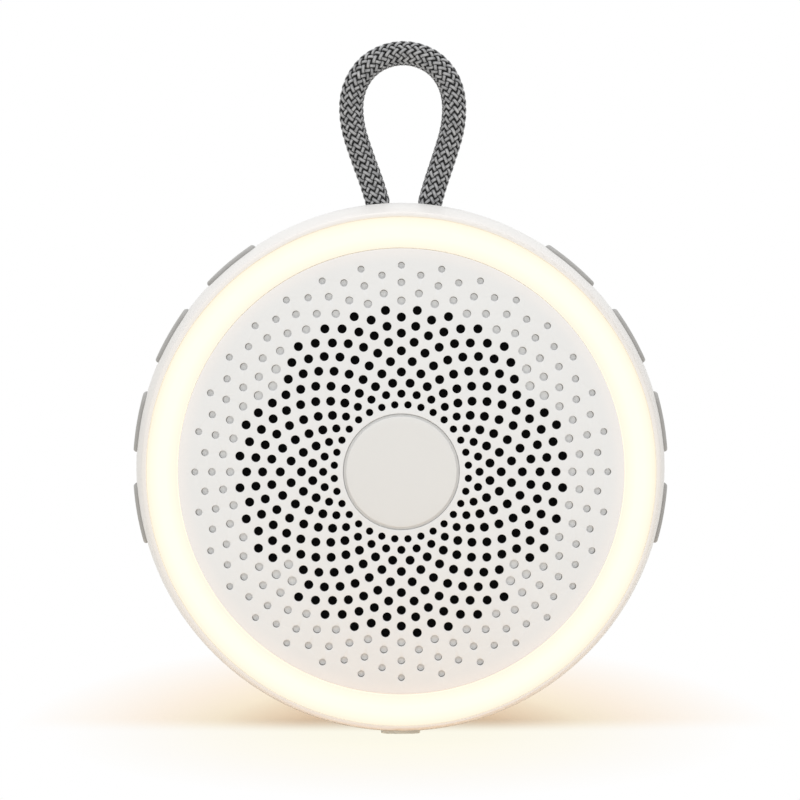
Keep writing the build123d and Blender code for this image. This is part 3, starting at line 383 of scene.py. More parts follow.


# %% [markdown]
# ## One finish for each material slot
# The frame says which material slot each node takes. A dictionary from slot to finish then dresses every node
# that keeps its solid, the ones deep inside as well, because the machine can be taken apart. Only the front
# housing takes the white with a painted glow instead of its slot's finish.

# %% Finishes by slot
inner_black = (0.028, 0.028, 0.030)
finishes = {
    "white_plastic": white_plastic,
    "grey_plastic": grey_plastic,
    "grey_silicone": grey_silicone,
    "foot_silicone": foot_silicone,
    "diffuser": diffuser,
    "inner_plastic": moulded("inner_plastic", (0.022, 0.022, 0.024), 0.55, drift=0.08),
    "clear_white": moulded("reflector_white", (0.86, 0.86, 0.84), 0.2, depth=0.001 * MM, coat_weight=0.4),
    "cloth": woven("dust_cloth", (0.010, 0.010, 0.011), 0.35 * MM),
    "board": circuit_board("board", (0.012, 0.10, 0.05), (0.03, 0.19, 0.09)),
    "chip": moulded("chip", inner_black, 0.45, grain=0.1 * MM, depth=0.003 * MM, drift=0.1),
    "lamp": moulded("lamp", (0.92, 0.78, 0.38), 0.3, drift=0.08, coat_weight=0.5),
    "steel": brushed("steel", (0.60, 0.60, 0.60), 0.30),
    "iron": brushed("iron", (0.36, 0.36, 0.37), 0.42, along="X"),
    "ferrite": moulded("ferrite", (0.07, 0.07, 0.075), 0.75, grain=0.4 * MM, depth=0.02 * MM, drift=0.15),
    "paper_cone": moulded(
        "paper_cone", (0.045, 0.045, 0.048), 0.9, grain=0.5 * MM, depth=0.03 * MM, drift=0.2
    ),
    "black_rubber": moulded("black_rubber", (0.018, 0.018, 0.018), 0.6, drift=0.1, sheen_weight=0.2),
    "spider_cloth": woven("spider_cloth", (0.50, 0.30, 0.08), 0.4 * MM),
    "copper": wound_wire("copper", (0.75, 0.36, 0.18), 0.2 * MM),
    "foam": moulded("foam", (0.03, 0.03, 0.03), 0.95, grain=0.7 * MM, depth=0.12 * MM, drift=0.25),
    "battery_wrap": moulded(
        "battery_wrap", (0.48, 0.50, 0.54), 0.28, grain=2 * MM, depth=0.03 * MM, coat_weight=0.6
    ),
    "wire": moulded("wire", (0.42, 0.03, 0.03), 0.4, drift=0.08),
    "cream_plastic": moulded("cream_plastic", (0.80, 0.76, 0.64), 0.4, drift=0.03),
}
for subpart in frame["record"]["subparts"]:
    finish = finishes.get(subpart["material_slot"])
    if finish:
        mesh = frame["nodes"][subpart["node"]].data
        mesh.materials.clear()
        mesh.materials.append(finish)
# The front housing's rim takes the white with the painted glow of the ring.
frame["nodes"]["front_housing"].data.materials[0] = painted_glow_rim
print(len(finishes), "finishes for", len(frame["nodes"]), "nodes")

# %% [markdown]
# ## Small helpers for pieces
# A mesh made with bmesh becomes an object that sits at the origin, unturned and unscaled. `finished` does
# that last step for every piece: it names the piece, gives it its materials, lets it ride on its body and
# hides the solid that it stands for.

# %% Helper that turns a bmesh into a finished piece
def finished(bm, name, body, materials, stands_for=()):
    """Write the bmesh to a new object, give it its materials, let it ride on its body and hide its solids."""
    mesh = bpy.data.meshes.new(name)
    bm.to_mesh(mesh)
    bm.free()
    for polygon in mesh.polygons:
        polygon.use_smooth = True
    piece = bpy.data.objects.new(name, mesh)
    bpy.context.collection.objects.link(piece)
    for material in materials:
        mesh.materials.append(material)
    if body:
        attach(piece, body)
    if stands_for:
        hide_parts(*stands_for)
    triangles = sum(len(polygon.vertices) - 2 for polygon in mesh.polygons)
    print(name, "triangles", triangles)
    return piece


def stamp(bm, blank, matrix=None):
    """Add a copy of a bmesh to another one, moved by a matrix."""
    holder = bpy.data.meshes.new("stamp")
    blank.to_mesh(holder)
    if matrix:
        holder.transform(matrix)
    bm.from_mesh(holder)
    bpy.data.meshes.remove(holder)


# %% [markdown]
# ## The rope loop
# The rope is a braided cord 4.5 mm thick. Twelve carriers wind one way and twelve the other, and each
# carrier lays down two yarns side by side. The strands that lean one way pass over two and under one, so
# their stitches are longer than the others, and they line up in V shapes along the cord, with dark gaps
# where they dip.
#
# The line is a NURBS spline through the same listed points as the solid. The spline is read as a row of
# points, and every strand is then laid round that row, so the weave follows the bends.

# %% Route of the rope
rope_diameter = 4.5 * MM
pivot_height = 96.0 * MM
loop_route = [
    (-4.3, 0.0),
    (-5.0, 2.45),
    (-6.6, 6.65),
    (-8.95, 13.65),
    (-8.7, 19.85),
    (-5.35, 24.65),
    (0.45, 26.55),
    (6.2, 24.7),
    (9.5, 19.95),
    (9.75, 13.55),
    (7.6, 6.6),
    (6.15, 2.4),
    (5.5, 0.0),
]
route = [Vector((x * MM, 0.0, pivot_height + rise * MM)) for x, rise in loop_route]


def spline_points(route, resolution):
    """The points of a smooth NURBS line that has the route's points as its control points."""
    curve = bpy.data.curves.new("rope_route", "CURVE")
    curve.dimensions = "3D"
    curve.resolution_u = resolution
    spline = curve.splines.new("NURBS")
    spline.points.add(len(route) - 1)
    for point, place in zip(spline.points, route):
        point.co = (*place, 1.0)
    spline.order_u = 3
    spline.use_endpoint_u = True
    holder = bpy.data.objects.new("rope_route", curve)
    mesh = bpy.data.meshes.new_from_object(holder)
    points = [vertex.co.copy() for vertex in mesh.vertices]
    bpy.data.objects.remove(holder)
    bpy.data.curves.remove(curve)
    bpy.data.meshes.remove(mesh)
    return points


rope_line = spline_points(route, resolution=24)
distances = list(itertools.accumulate((b - a).length for a, b in zip(rope_line, rope_line[1:])))
distances.insert(0, 0.0)
rope_length = distances[-1]
print("rope line", len(rope_line), "points,", round(rope_length / MM, 2), "mm")

# %% [markdown]
# A strand needs to know, for any distance along the rope, where the rope's middle is and which way it
# runs. `along_rope` walks the row of points for the middle, and takes the direction from two places a
# little before and after, so that the strands turn evenly. Past both ends the line slips into the housing
# with its slope, and is upright again where the clamp holds it.

# %% Walk along the rope
heading_reach = 0.9 * MM
settled_depth = 3.6 * MM


def past_exit(exit_point, neighbour, depth):
    """Below an exit the rope keeps its slope at first, and then comes back to stand under the exit."""
    slope = (exit_point.x - neighbour.x) / (neighbour.z - exit_point.z)
    return exit_point + Vector((slope * min(depth, max(0.0, (settled_depth - depth) / 2)), 0, -depth))


def rope_middle(distance):
    """Middle of the rope at a distance from its left exit."""
    if distance <= 0:
        return past_exit(route[0], route[1], -distance)
    if distance >= rope_length:
        return past_exit(route[-1], route[-2], distance - rope_length)
    index = bisect.bisect_right(distances, distance) - 1
    share = (distance - distances[index]) / (distances[index + 1] - distances[index])
    return rope_line[index].lerp(rope_line[index + 1], share)


def along_rope(distance):
    """Middle of the rope and its direction at a distance from its left exit."""
    ahead = rope_middle(distance + heading_reach) - rope_middle(distance - heading_reach)
    return rope_middle(distance), ahead.normalized()


# %% [markdown]
# One strand is a flat ribbon with a groove along its top, like two yarns side by side. It is made
# straight, by spinning a small profile through no angle at all but with a step along Z, which is a quick
# way to extrude many rings. Each copy of this blank is then wound round the rope: `wound` turns its ring
# number into a distance along the rope and an angle round it, and lifts the strand where it passes over
# the others. The strands that wind the two ways use one wave with opposite signs, so that one always dips
# where the other rises.

# %% Braid sizes
carriers = 12
braid_pitch = 15.5 * MM
braid_turn = math.radians(-16)
strand_width = 0.64 * MM
strand_thickness = 0.48 * MM
groove_depth = 0.80
shoulder = (0.66, 0.74)
weave_height = 0.25 * MM
core_radius = 1.40 * MM
rings_per_period = 8
periods_per_turn = 8
over_phase = math.radians(60)
over_bias = 0.2
over_steepness = 2.2
over_reach = 0.75
weave_radius = rope_diameter / 2 - weave_height - strand_thickness / 2
ring_step = braid_pitch / periods_per_turn / rings_per_period
strand_lay = math.atan2(math.tau * weave_radius, braid_pitch)


def left_leaning_on_top(angle):
    """Near 1 where the strands that lean left lie on top, near -1 where they dip under one strand."""
    wave = math.cos(periods_per_turn * angle - over_phase) + over_bias
    return math.tanh(over_steepness * wave) / math.tanh(over_steepness * over_reach)


# %% Strand blank and winding
def strand_blank(rings):
    """A straight double yarn along Z, one unit for each ring, with a UV map: along it, and round it."""
    bm = bmesh.new()
    bm.verts.layers.float.new("dip")
    bmesh.ops.create_circle(bm, segments=8, radius=1.0)
    for vertex in bm.verts:
        if abs(vertex.co.x) > 0.1 and abs(vertex.co.y) > 0.1:
            corner = [math.copysign(size, side) for size, side in zip(shoulder, vertex.co)]
            vertex.co.x, vertex.co.y = corner
        elif vertex.co.y > 0.1:
            vertex.co.y *= groove_depth
    bmesh.ops.scale(bm, vec=(strand_width / 2, strand_thickness / 2, 1.0), verts=bm.verts)
    bmesh.ops.spin(bm, geom=bm.edges[:], angle=0.0, axis=(0, 0, 1), dvec=(0, 0, 1), steps=rings)
    uv = bm.loops.layers.uv.new("yarn")
    for face in bm.faces:
        turns = [(math.atan2(loop.vert.co.y, loop.vert.co.x) / math.tau + 0.25) % 1.0 for loop in face.loops]
        crosses = max(turns) - min(turns) > 0.5
        for loop, turn in zip(face.loops, turns):
            loop[uv].uv = (loop.vert.co.z, turn + 1.0 if crosses and turn < 0.5 else turn)
    return bm


def wound(co, start, first, direction):
    """Where a point of the straight ribbon lies once it is wound round the rope, and how far it dips."""
    distance = first + co.z * ring_step
    middle, heading = along_rope(distance)
    angle = start + direction * math.tau * distance / braid_pitch
    over = -direction * left_leaning_on_top(angle)
    lift = weave_radius + weave_height * over + co.y
    front = Vector((0, -1, 0))
    side = heading.cross(front)
    turned_angle = angle + braid_turn
    out = front * math.cos(turned_angle) + side * math.sin(turned_angle)
    around = side * math.cos(turned_angle) - front * math.sin(turned_angle)
    across = around * math.cos(strand_lay) - heading * math.sin(direction * strand_lay)
    return middle + out * lift + across * co.x, 0.5 - over / 2


def rope_core(first, last, rings):
    """The filling inside the strands; its near-black material is painted shade for the gaps between them."""
    core = bmesh.new()
    bmesh.ops.create_circle(core, segments=16, radius=core_radius, cap_ends=False)
    bmesh.ops.spin(core, geom=core.edges[:], angle=0.0, axis=(0, 0, 1), dvec=(0, 0, 1), steps=rings)
    for vertex in core.verts:
        middle, heading = along_rope(first + vertex.co.z * (last - first) / rings)
        front = Vector((0, -1, 0))
        vertex.co = middle + front * vertex.co.y + heading.cross(front) * vertex.co.x
    bmesh.ops.holes_fill(core, edges=[edge for edge in core.edges if edge.is_boundary])
    for face in core.faces:
        face.material_index = 1
    return core


def braid(bm, first, last):
    """Add all strands from one distance along the rope to another, and the dark core inside them."""
    rings = round((last - first) / ring_step)
    blank = strand_blank(rings)
    bmesh.ops.holes_fill(blank, edges=[edge for edge in blank.edges if edge.is_boundary])
    for direction in (1, -1):
        for carrier in range(carriers):
            strand = blank.copy()
            dip = strand.verts.layers.float["dip"]
            for vertex in strand.verts:
                vertex.co, vertex[dip] = wound(vertex.co, math.tau * carrier / carriers, first, direction)
            stamp(bm, strand)
            strand.free()
    blank.free()
    core = rope_core(first, last, rings // 2)
    stamp(bm, core)
    core.free()
    bmesh.ops.recalc_face_normals(bm, faces=bm.faces)


# %% [markdown]
# ## The finish of the yarn
# The yarn is grey polyester, many fine fibres side by side. The strand's own UV map says how far along it and
# how far round it a point is, so a noise that is long one way and short the other gives fibres that follow
# every turn. Some stretches are paler than others, as where the dye took less. The fibres are thin, so the
# yarn has a little sheen. Down the sides of each strand, and where it dips under another one, the colour is
# painted darker: painted shade in the crevices where yarns touch. The dip of every point is kept on the mesh
# as an attribute when the strand is wound.

# %% Yarn and core finishes
fibre_weight = 0.55


def grey_yarn():
    """Grey yarn with fibres along it."""
    material, tree, shader = new_material("grey_yarn")
    fibres = noise(tree, 1.0, detail=2.0, stretch=(5.0, 0.045, 1.0), coordinates="UV")
    patches = noise(tree, 1.1 * MM, detail=1.0)
    fibre_part = math_node(tree, "MULTIPLY", fibres, fibre_weight)
    patch_part = math_node(tree, "MULTIPLY", patches, 1 - fibre_weight)
    tone = math_node(tree, "ADD", fibre_part, patch_part)
    stops = [(0.32, srgb(128, 129, 131)), (0.50, srgb(168, 169, 171)), (0.68, srgb(206, 206, 207))]
    split = tree.nodes.new("ShaderNodeSeparateXYZ")
    tree.links.new(placed(tree, coordinates="UV"), split.inputs["Vector"])
    from_top = math_node(tree, "ABSOLUTE", math_node(tree, "SUBTRACT", split.outputs["Y"], 0.5))
    # Painted shade: darker down the sides of each strand and where it dips under another.
    painted_side_shade = spread(tree, from_top, 0.08, 0.23, 1.0, 0.05)
    dip = tree.nodes.new("ShaderNodeAttribute")
    dip.attribute_name = "dip"
    painted_dip_shade = spread(tree, dip.outputs["Fac"], 0.20, 0.85, 1.0, 0.14)
    darker = tree.nodes.new("ShaderNodeVectorMath")
    darker.operation = "SCALE"
    tree.links.new(colours(tree, tone, stops), darker.inputs[0])
    tree.links.new(math_node(tree, "MULTIPLY", painted_side_shade, painted_dip_shade), darker.inputs["Scale"])
    tree.links.new(darker.outputs["Vector"], shader.inputs["Base Color"])
    shader.inputs["Roughness"].default_value = 0.75
    shader.inputs["Sheen Weight"].default_value = 0.15
    raised(tree, shader, fibres, 0.05 * MM, strength=0.7)
    return material


yarn = grey_yarn()
# The core's near-black colour is painted shade: it darkens the gaps between the strands.
core_painted_shade = moulded("rope_core", (0.02, 0.02, 0.021), 0.9, drift=0.2)

# %% [markdown]
# The loop bends over about its two exits, and real rope doesn't fold there, it curves. The straight ends
# go on down through the clamp, where each is melted into a bulb that can't be pulled out.

# %% Rope pieces
join_depth = 1.7 * MM
end_depth = 9.6 * MM
bulb_radius = 2.9 * MM
bulb_height = 1.5 * MM
bulb_round = 0.45 * MM
loop_mesh = bmesh.new()
braid(loop_mesh, -join_depth, rope_length + join_depth)
braided_loop = finished(loop_mesh, "braided_loop", None, [yarn, core_painted_shade], ["rope_loop"])
turn_start = Vector((0, 0, pivot_height - 1 * MM))
turn_end = Vector((0, 0, pivot_height + 8 * MM))
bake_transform(braided_loop, "housing", "loop", start=turn_start, end=turn_end)

ends_mesh = bmesh.new()
braid(ends_mesh, -end_depth, -join_depth)
braid(ends_mesh, rope_length + join_depth, rope_length + end_depth)
for end in (route[0], route[-1]):
    bulb = bmesh.new()
    bmesh.ops.create_cone(
        bulb, cap_ends=True, segments=32, radius1=bulb_radius, radius2=bulb_radius, depth=bulb_height
    )
    bmesh.ops.bevel(
        bulb,
        geom=[edge for edge in bulb.edges if abs(edge.verts[0].co.z - edge.verts[1].co.z) < MM / 10],
        offset=bulb_round,
        segments=3,
        profile=0.5,
        affect="EDGES",
        material=-1,
    )
    for face in bulb.faces:
        face.material_index = 1
    bulb_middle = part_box("rope_ends")[0].z + bulb_height / 2
    stamp(ends_mesh, bulb, Matrix.Translation((end.x, 0, bulb_middle)))
    bulb.free()
finished(ends_mesh, "braided_ends", "housing", [yarn, core_painted_shade], ["rope_ends"])

# %% [markdown]
# ## The perforated plate
# The plate is one moulding: a flat face with 512 holes and dimples in rings, a skirt behind its edge, and a
# boss in the middle that guides the button. Booleans could cut the holes, but they leave poor edges. Here
# the flat face is filled between circles instead. First a few outlines are spun round the axis, which
# gives the edge, the skirt and the button's recess with rounded corners. Next one hole of each size is
# modelled as a small funnel with a rounded rim, and stamped at all its places. Last, `triangle_fill`
# closes the flat faces between the open rings of edges that all of these leave at the front and back.

# %% Outlines that are spun round the axis
spin_steps = 160


def spun(bm, outline, rounded=(), radius=0.0):
    """Spin an outline of (radius, y) corners round the axis, with some of its corners rounded first."""
    verts = [bmesh.ops.create_vert(bm, co=(out, y, centre.z))["vert"][0] for out, y in outline]
    edges = [bm.edges.new(pair) for pair in zip(verts, verts[1:])]
    known = set(bm.verts) - set(verts)
    known_edges = set(bm.edges) - set(edges)
    if rounded:
        bmesh.ops.bevel(
            bm,
            geom=[verts[index] for index in rounded],
            offset=radius,
            segments=4,
            profile=0.5,
            affect="VERTICES",
            material=-1,
        )
    profile = [v for v in bm.verts if v not in known] + [e for e in bm.edges if e not in known_edges]
    bmesh.ops.spin(
        bm, geom=profile, angle=math.tau, axis=(0, 1, 0), cent=centre, steps=spin_steps, use_merge=True
    )


slip_gap = 0.15 * MM
frame_gap = 0.2 * MM
ring_crown = 0.3 * MM
lip_y = front_y + ring_crown
ring_back_y = front_y + 3.0 * MM
ledge_back_y = ring_back_y + 1.2 * MM
plate_back_y = lip_y + 2.2 * MM
plate_radius = ring_outer - ring_width - slip_gap
plate_flange = 0.8 * MM
skirt_thickness = 1.55 * MM
skirt_end_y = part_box("inner_frame")[0].y
recess_radius = 10.2 * MM
recess_floor_y = lip_y + 1.6 * MM
boss_radius = 11.05 * MM
boss_back_y = plate_back_y + 1.2 * MM
stem_bore = 6.9 * MM
edge_round = 0.2 * MM

plate = bmesh.new()
spun(
    plate,
    [
        (plate_radius - 2 * edge_round, lip_y),
        (plate_radius, lip_y),
        (plate_radius, ring_back_y),
        (plate_radius + plate_flange, ring_back_y),
        (plate_radius + plate_flange, ledge_back_y - frame_gap),
        (plate_radius, ledge_back_y - frame_gap),
        (plate_radius, skirt_end_y),
        (plate_radius - skirt_thickness, skirt_end_y),
        (plate_radius - skirt_thickness, plate_back_y),
    ],
    rounded=[1],
    radius=edge_round,
)
spun(
    plate,
    [
        (recess_radius + edge_round, lip_y),
        (recess_radius, lip_y),
        (recess_radius, recess_floor_y),
        (stem_bore, recess_floor_y),
        (stem_bore, boss_back_y),
        (boss_radius, boss_back_y),
        (boss_radius, plate_back_y),
    ],
    rounded=[1],
    radius=edge_round,
)
print("plate radius", round(plate_radius / MM, 2), "mm,", len(plate.faces), "faces before the holes")

# %% [markdown]
# The rings alternate: every second one is turned by half a step, so that the holes stand in the gaps of their
# neighbours. The inner eleven rings go right through where the black cloth lies behind them, apart from a few
# that are only dimples there, and the outer ones are dimples that get a little smaller. The dimples lean
# towards the middle as they get deeper, which a shear in the matrix does, so their outer walls show. Steep
# walls take a second material, with painted shade that gets darker with depth.

# %% Holes and dimples
hole_count = 32
hole_sides = 16
rim_round = 0.09 * MM
dimple_depth = 0.6 * MM
dimple_sizes = [1.44 - 0.06 * index for index in range(5)]
hole_sizes = [1.3, 1.45] + [1.6] * 9
ring_steps = [1.9, 1.9, 1.9, 1.9, 1.8, 1.6, 1.5, 1.3, 1.5, 1.3, 1.6, 1.4, 1.8, 1.4, 1.6]
ring_radii = list(itertools.accumulate(ring_steps, initial=recess_radius / MM + 1.6))
closed_holes = {8: [129.375], 9: [56.25, 135.0], 10: [50.625, 61.875, 129.375]}
facing_front = Matrix.Rotation(math.radians(90), 4, "X")
dimple_lean = 0.34
leaning = Matrix.Identity(4)
leaning[2][1] = -dimple_lean


def next_ring(bm, radius, step_back):
    """Extrude the open ring of edges that lies furthest back, to a new radius and further back."""
    last_y = max(vertex.co.y for vertex in bm.verts)
    ring = [edge for edge in bm.edges if all(vertex.co.y > last_y - MM / 1000 for vertex in edge.verts)]
    grown = bmesh.ops.extrude_edge_only(bm, edges=ring)["geom"]
    verts = [part for part in grown if isinstance(part, bmesh.types.BMVert)]
    ratio = radius / Vector((verts[0].co.x, verts[0].co.z)).length
    bmesh.ops.scale(bm, vec=(ratio, 1, ratio), verts=verts)
    bmesh.ops.translate(bm, vec=(0, step_back, 0), verts=verts)


def hole_blank(diameter, goes_through):
    """One hole with a rounded rim, or one dimple with a rounded rim and a soft bottom edge."""
    steep = 0.3
    part_turn = math.radians(45)
    bm = bmesh.new()
    radius = diameter / 2
    bmesh.ops.create_circle(bm, segments=hole_sides, radius=radius + rim_round, matrix=facing_front)
    next_ring(bm, radius + rim_round * (1 - math.sin(part_turn)), rim_round * (1 - math.cos(part_turn)))
    next_ring(bm, radius, rim_round * math.cos(part_turn))
    if goes_through:
        next_ring(bm, radius, plate_back_y - lip_y - rim_round)
    else:
        next_ring(bm, radius, dimple_depth - 2 * rim_round)
        next_ring(bm, radius - rim_round, rim_round)
        floor_y = max(vertex.co.y for vertex in bm.verts)
        rim = [edge for edge in bm.edges if all(vertex.co.y > floor_y - MM / 1000 for vertex in edge.verts)]
        bmesh.ops.triangle_fill(bm, use_beauty=True, use_dissolve=False, edges=rim)
    bm.normal_update()
    # Steep walls take the second material, which carries painted shade.
    for face in bm.faces:
        face.material_index = 1 if abs(face.normal.y) < steep else 0
    return bm


def ring_places(index):
    """Middles of the holes of one ring, each with its angle from the top in degrees."""
    for place in range(hole_count):
        angle = (place + (0.5 if index % 2 == 0 else 0)) * 360 / hole_count
        turn = math.radians(angle)
        yield angle, Vector((math.sin(turn), 0, math.cos(turn))) * ring_radii[index] * MM


holes = 0
for index in range(len(ring_radii)):
    through = index < len(hole_sizes)
    size = (hole_sizes[index] if through else dimple_sizes[index - len(hole_sizes)]) * MM
    closed = closed_holes.get(index, [])
    open_blank = hole_blank(size, through)
    blind_blank = hole_blank(size, False)
    for angle, place in ring_places(index):
        blind = angle in closed or 360 - angle in closed
        where = Matrix.Translation(place + Vector((0, lip_y, centre.z)))
        if blind or not through:
            where = where @ Matrix.Rotation(math.radians(angle), 4, "Y") @ leaning
        stamp(plate, blind_blank if blind else open_blank, where)
        holes += 1
    open_blank.free()
    blind_blank.free()
print(holes, "holes and dimples")


def open_edges_at(bm, y):
    """Edges at one depth that have a face on one side only."""
    return [e for e in bm.edges if e.is_boundary and all(abs(v.co.y - y) < MM / 100 for v in e.verts)]


for y, facing in ((lip_y, -1), (plate_back_y, 1)):
    edges = open_edges_at(plate, y)
    bmesh.ops.triangle_fill(plate, use_beauty=True, use_dissolve=False, edges=edges, normal=(0, facing, 0))
bmesh.ops.recalc_face_normals(plate, faces=plate.faces)
print("open edges left", sum(edge.is_boundary for edge in plate.edges))

# %% [markdown]
# In the walls of the holes the colour is painted darker with depth, from white at the rim to near black
# further in: painted shade in the holes. The depth is the surface's own y, so a ramp on it gives the painted
# shade.

# %% Finish of the hole walls
def painted_shade_wall():
    """White at the rim, painted darker with depth as painted shade further in."""
    material, tree, shader = new_material("painted_shade_wall")
    split = tree.nodes.new("ShaderNodeSeparateXYZ")
    tree.links.new(placed(tree), split.inputs["Vector"])
    ragged = math_node(tree, "MULTIPLY_ADD", noise(tree, 0.3 * MM), 0.1 * MM, split.outputs["Y"])
    deep = spread(tree, ragged, lip_y, lip_y + 0.9 * MM)
    stops = [(0.0, srgb(180, 179, 176)), (0.6, srgb(108, 107, 105)), (1.0, srgb(24, 24, 24))]
    tree.links.new(colours(tree, deep, stops), shader.inputs["Base Color"])
    shader.inputs["Roughness"].default_value = 0.7
    return material


# %% [markdown]
# Seven posts stand on the back of the plate: four take the screws of the inner frame, and three short
# ones carry the button's little board. They are cylinders that start just inside the plate.

# %% Posts, and the finished plate
def post(bm, angle, circle, radius, start, end):
    """A round post along y at a place round the axis."""
    turn = math.radians(angle)
    place = Vector((math.cos(turn), 0, math.sin(turn))) * circle
    middle = place + Vector((0, (start + end) / 2, centre.z))
    where = Matrix.Translation(middle) @ facing_front
    bmesh.ops.create_cone(
        bm, cap_ends=True, segments=24, radius1=radius, radius2=radius, depth=end - start, matrix=where
    )


sunk = 0.05 * MM
frame_post_circle = plate_radius - 3.25 * MM
frame_post_radius = 2.0 * MM
board_post_circle = (stem_bore + boss_radius) / 2
board_post_radius = 1.1 * MM
board_post_end_y = boss_back_y + 2.75 * MM
for angle in (20, 160, 200, 340):
    post(plate, angle, frame_post_circle, frame_post_radius, plate_back_y - sunk, skirt_end_y)
for angle in (90, 210, 330):
    post(plate, angle, board_post_circle, board_post_radius, boss_back_y - sunk, board_post_end_y)
perforated_plate = finished(
    plate, "perforated_plate", "housing", [painted_glow_plate, painted_shade_wall()], ["grille_plate"]
)


def even_shading(piece):
    """Let large flat faces decide the normals at their edges, so that only the rounded rims look rounded."""
    modifier = piece.modifiers.new("even_shading", "WEIGHTED_NORMAL")
    modifier.mode = "FACE_AREA"
    modifier.weight = 100
    modifier.keep_sharp = True


even_shading(perforated_plate)

# %% [markdown]
# ## The button in the middle
# The button is a flat disc with a barely raised middle, a small step round its edge, and a hollow stem
# behind it with three hooks that keep it in its bore. A spun outline gives all but the hooks. The
# rounded corners catch the light as a thin bright line round the disc.

# %% Centre button
button_radius = 9.7 * MM
button_top_y = lip_y - 0.1 * MM
button_crown = 0.12 * MM
button_round = 0.14 * MM
button_under_y = button_top_y + 1.0 * MM
moat_depth = 0.28 * MM
button_flange = recess_radius - 0.06 * MM
stem_radius = 6.7 * MM
stem_wall = 1.1 * MM
stem_end_y = boss_back_y + 0.55 * MM
hook_width = 2.4 * MM
hook_reach = 0.6 * MM
hook_depth = 0.5 * MM

disc = bmesh.new()
crown_steps = 8
crown_line = [
    (button_radius * share, button_top_y - button_crown * (1 - share**2))
    for share in (step / crown_steps for step in range(crown_steps + 1))
]
spun(
    disc,
    crown_line
    + [
        (button_radius, button_top_y + moat_depth),
        (button_flange, button_top_y + moat_depth),
        (button_flange, button_under_y),
        (stem_radius, button_under_y),
        (stem_radius, stem_end_y),
        (stem_radius - stem_wall, stem_end_y),
        (stem_radius - stem_wall, button_under_y),
        (0.0, button_under_y),
    ],
    rounded=[crown_steps],
    radius=button_round,
)
bmesh.ops.remove_doubles(disc, verts=disc.verts, dist=MM / 1000)
bmesh.ops.recalc_face_normals(disc, faces=disc.faces)
for angle in (30, 150, 270):
    turn = math.radians(angle)
    reach = stem_radius - stem_wall / 2 + hook_reach / 2
    place = Vector((math.cos(turn), 0, math.sin(turn))) * reach
    place += Vector((0, stem_end_y - hook_depth / 2, centre.z))
    size = Matrix.Diagonal((stem_wall + hook_reach, hook_depth, hook_width, 1))
    where = Matrix.Translation(place) @ Matrix.Rotation(-turn, 4, "Y") @ size
    bmesh.ops.create_cube(disc, size=1.0, matrix=where)
centre_disc = finished(disc, "centre_disc", "button", [grey_plastic], ["centre_button"])
even_shading(centre_disc)

# %% [markdown]
# ## The floor and the light
# The machine stands in a bright, plain room. A large soft lamp above gives the shadow under the body, a
# weaker one in front lights the plate evenly, and the world fills the rest. The floor is pale and takes the
# object's shadow, and its own colour is painted warmer near the machine as a painted glow of the ring. For
# the camera alone, painted colours are mixed over it that depend on the place: a painted warm shadow behind
# the machine, painted light of the ring nearly white before it, and pure white further out, at strength 1, so
# that floor and background become one. Close behind the machine half of the real shadow shows through the
# painted shadow.

# %% Lamps
def area_lamp(name, place, aim, size, watts):
    """A soft rectangular lamp at a place, turned towards a point."""
    light = bpy.data.lights.new(name, "AREA")
    light.shape = "RECTANGLE"
    light.size, light.size_y = size
    light.energy = watts
    lamp = bpy.data.objects.new(name, light)
    bpy.context.collection.objects.link(lamp)
    lamp.location = place
    lamp.rotation_euler = (Vector(aim) - Vector(place)).to_track_quat("-Z", "Y").to_euler()


area_lamp("top_light", place=(0.0, -0.15, 0.95), aim=centre, size=(0.7, 0.7), watts=3.4)
area_lamp("front_light", place=(-0.1, -1.1, 0.45), aim=centre, size=(0.9, 0.7), watts=2.0)
print("lamps:", [light.name for light in bpy.data.lights])

# %% World and floor
def camera_share(tree):
    """1 for what the camera sees, also in a mirror or through glass, and 0 for light that falls on things."""
    path = tree.nodes.new("ShaderNodeLightPath")
    seen = math_node(tree, "MAXIMUM", path.outputs["Is Camera Ray"], path.outputs["Is Glossy Ray"])
    return math_node(tree, "MAXIMUM", seen, path.outputs["Is Transmission Ray"])


world_light = 0.62
world = bpy.data.worlds.new("studio")
bpy.context.scene.world = world
world.use_nodes = True
world_tree = world.node_tree
world_tree.nodes["Background"].inputs["Color"].default_value = (1, 1, 1, 1)
strength = math_node(world_tree, "MULTIPLY_ADD", camera_share(world_tree), 1 - world_light, world_light)
world_tree.links.new(strength, world_tree.nodes["Background"].inputs["Strength"])

floor_colour = srgb(250, 246, 238)
painted_glow_colour = srgb(255, 226, 194)
glow_width = 50 * MM
glow_depth = 66 * MM
stretched_behind = 0.6
glow_end = 1.5
front_line = (-3 * MM, 20 * MM)
painted_shadow_colours = [
    (0.25, srgb(226, 202, 172)),
    (0.36, srgb(243, 226, 198)),
    (0.45, srgb(254, 243, 218)),
    (0.60, srgb(255, 243, 228)),
    (0.72, srgb(255, 247, 238)),
    (0.95, (1, 1, 1)),
]
painted_light_colours = [
    (0.20, srgb(254, 251, 236)),
    (0.45, srgb(254, 251, 242)),
    (0.62, srgb(254, 252, 248)),
    (0.82, (1, 1, 1)),
]


def floor_reach(tree, across, depth):
    """How far out on the floor a point lies: 0 under the machine, and 1 at the edge of an oval round it."""
    back = math_node(tree, "MULTIPLY", depth, stretched_behind)
    deep = math_node(tree, "DIVIDE", math_node(tree, "MINIMUM", depth, back), glow_depth)
    wide = math_node(tree, "DIVIDE", across, glow_width)
    squares = math_node(tree, "MULTIPLY_ADD", wide, wide, math_node(tree, "MULTIPLY", deep, deep))
    return math_node(tree, "SQRT", squares)


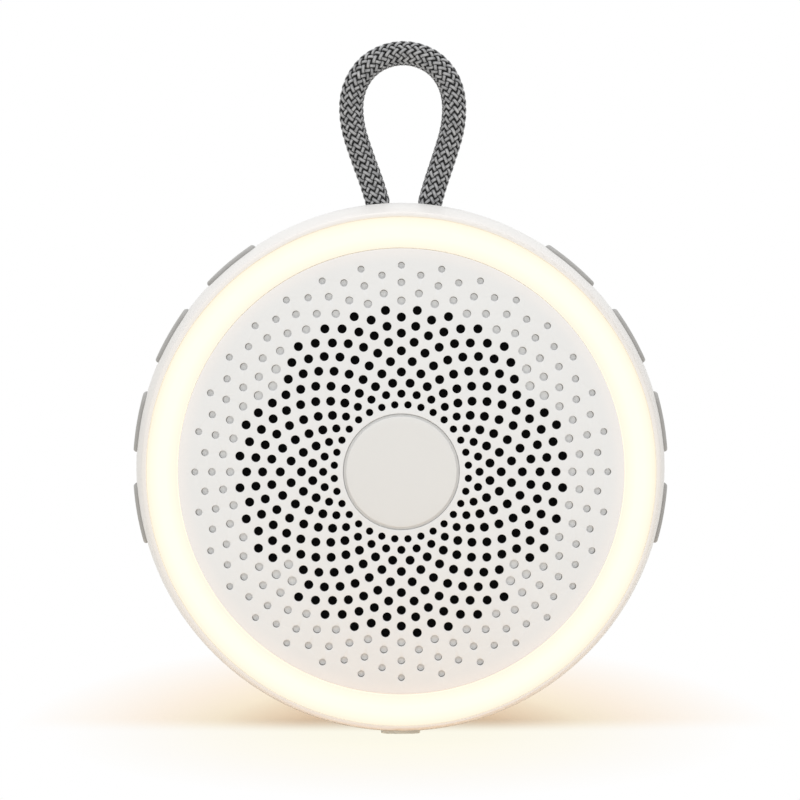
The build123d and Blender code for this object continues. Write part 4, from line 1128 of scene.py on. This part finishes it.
def floor_material():
    """A pale floor with a painted warm shadow behind the ring and painted light before it, fading to white
    further out.
    """
    material, tree, shader = new_material("floor")
    split = tree.nodes.new("ShaderNodeSeparateXYZ")
    tree.links.new(placed(tree), split.inputs["Vector"])
    reach = floor_reach(tree, split.outputs["X"], split.outputs["Y"])
    glow = spread(tree, reach, 0.2, glow_end)
    # Painted glow: the floor's own colour is warmer near the machine, standing in for the ring's warm light.
    stops = [(0.0, painted_glow_colour), (1.0, floor_colour)]
    tree.links.new(colours(tree, glow, stops), shader.inputs["Base Color"])
    shader.inputs["Roughness"].default_value = 0.9
    shader.inputs["Specular IOR Level"].default_value = 0.1
    # Painted shadow behind the machine and painted light before it, mixed in for the camera.
    behind = spread(tree, split.outputs["Y"], *front_line)
    before_share = spread(tree, reach, 0.3, 1.2, 0.98, 1.0)
    behind_share = spread(tree, reach, 0.3, 1.4, 0.5, 1.0)
    difference = math_node(tree, "SUBTRACT", behind_share, before_share)
    share = math_node(tree, "MULTIPLY_ADD", behind, difference, before_share)
    place = math_node(tree, "DIVIDE", reach, glow_end)
    tint = tree.nodes.new("ShaderNodeMixRGB")
    tree.links.new(behind, tint.inputs["Fac"])
    tree.links.new(colours(tree, place, painted_light_colours), tint.inputs["Color1"])
    tree.links.new(colours(tree, place, painted_shadow_colours), tint.inputs["Color2"])
    white = tree.nodes.new("ShaderNodeEmission")
    tree.links.new(tint.outputs["Color"], white.inputs["Color"])
    mix = tree.nodes.new("ShaderNodeMixShader")
    tree.links.new(math_node(tree, "MULTIPLY", share, camera_share(tree)), mix.inputs["Fac"])
    tree.links.new(shader.outputs["BSDF"], mix.inputs[1])
    tree.links.new(white.outputs["Emission"], mix.inputs[2])
    tree.links.new(mix.outputs["Shader"], tree.nodes["Material Output"].inputs["Surface"])
    material.cycles.emission_sampling = "NONE"
    return material


floor_half_width = 1.5
floor_mesh = bmesh.new()
bmesh.ops.create_grid(floor_mesh, x_segments=1, y_segments=1, size=floor_half_width)
floor_data = bpy.data.meshes.new("floor")
floor_mesh.to_mesh(floor_data)
floor_mesh.free()
floor = bpy.data.objects.new("floor", floor_data)
bpy.context.collection.objects.link(floor)
floor_data.materials.append(floor_material())
print("floor", round(floor.dimensions.x, 2), "m across")

# %% [markdown]
# ## The view transform and the end
# The picture keeps colours as they are written, so the view transform is Standard.

# %% View settings and the end
bpy.context.scene.view_settings.view_transform = "Standard"
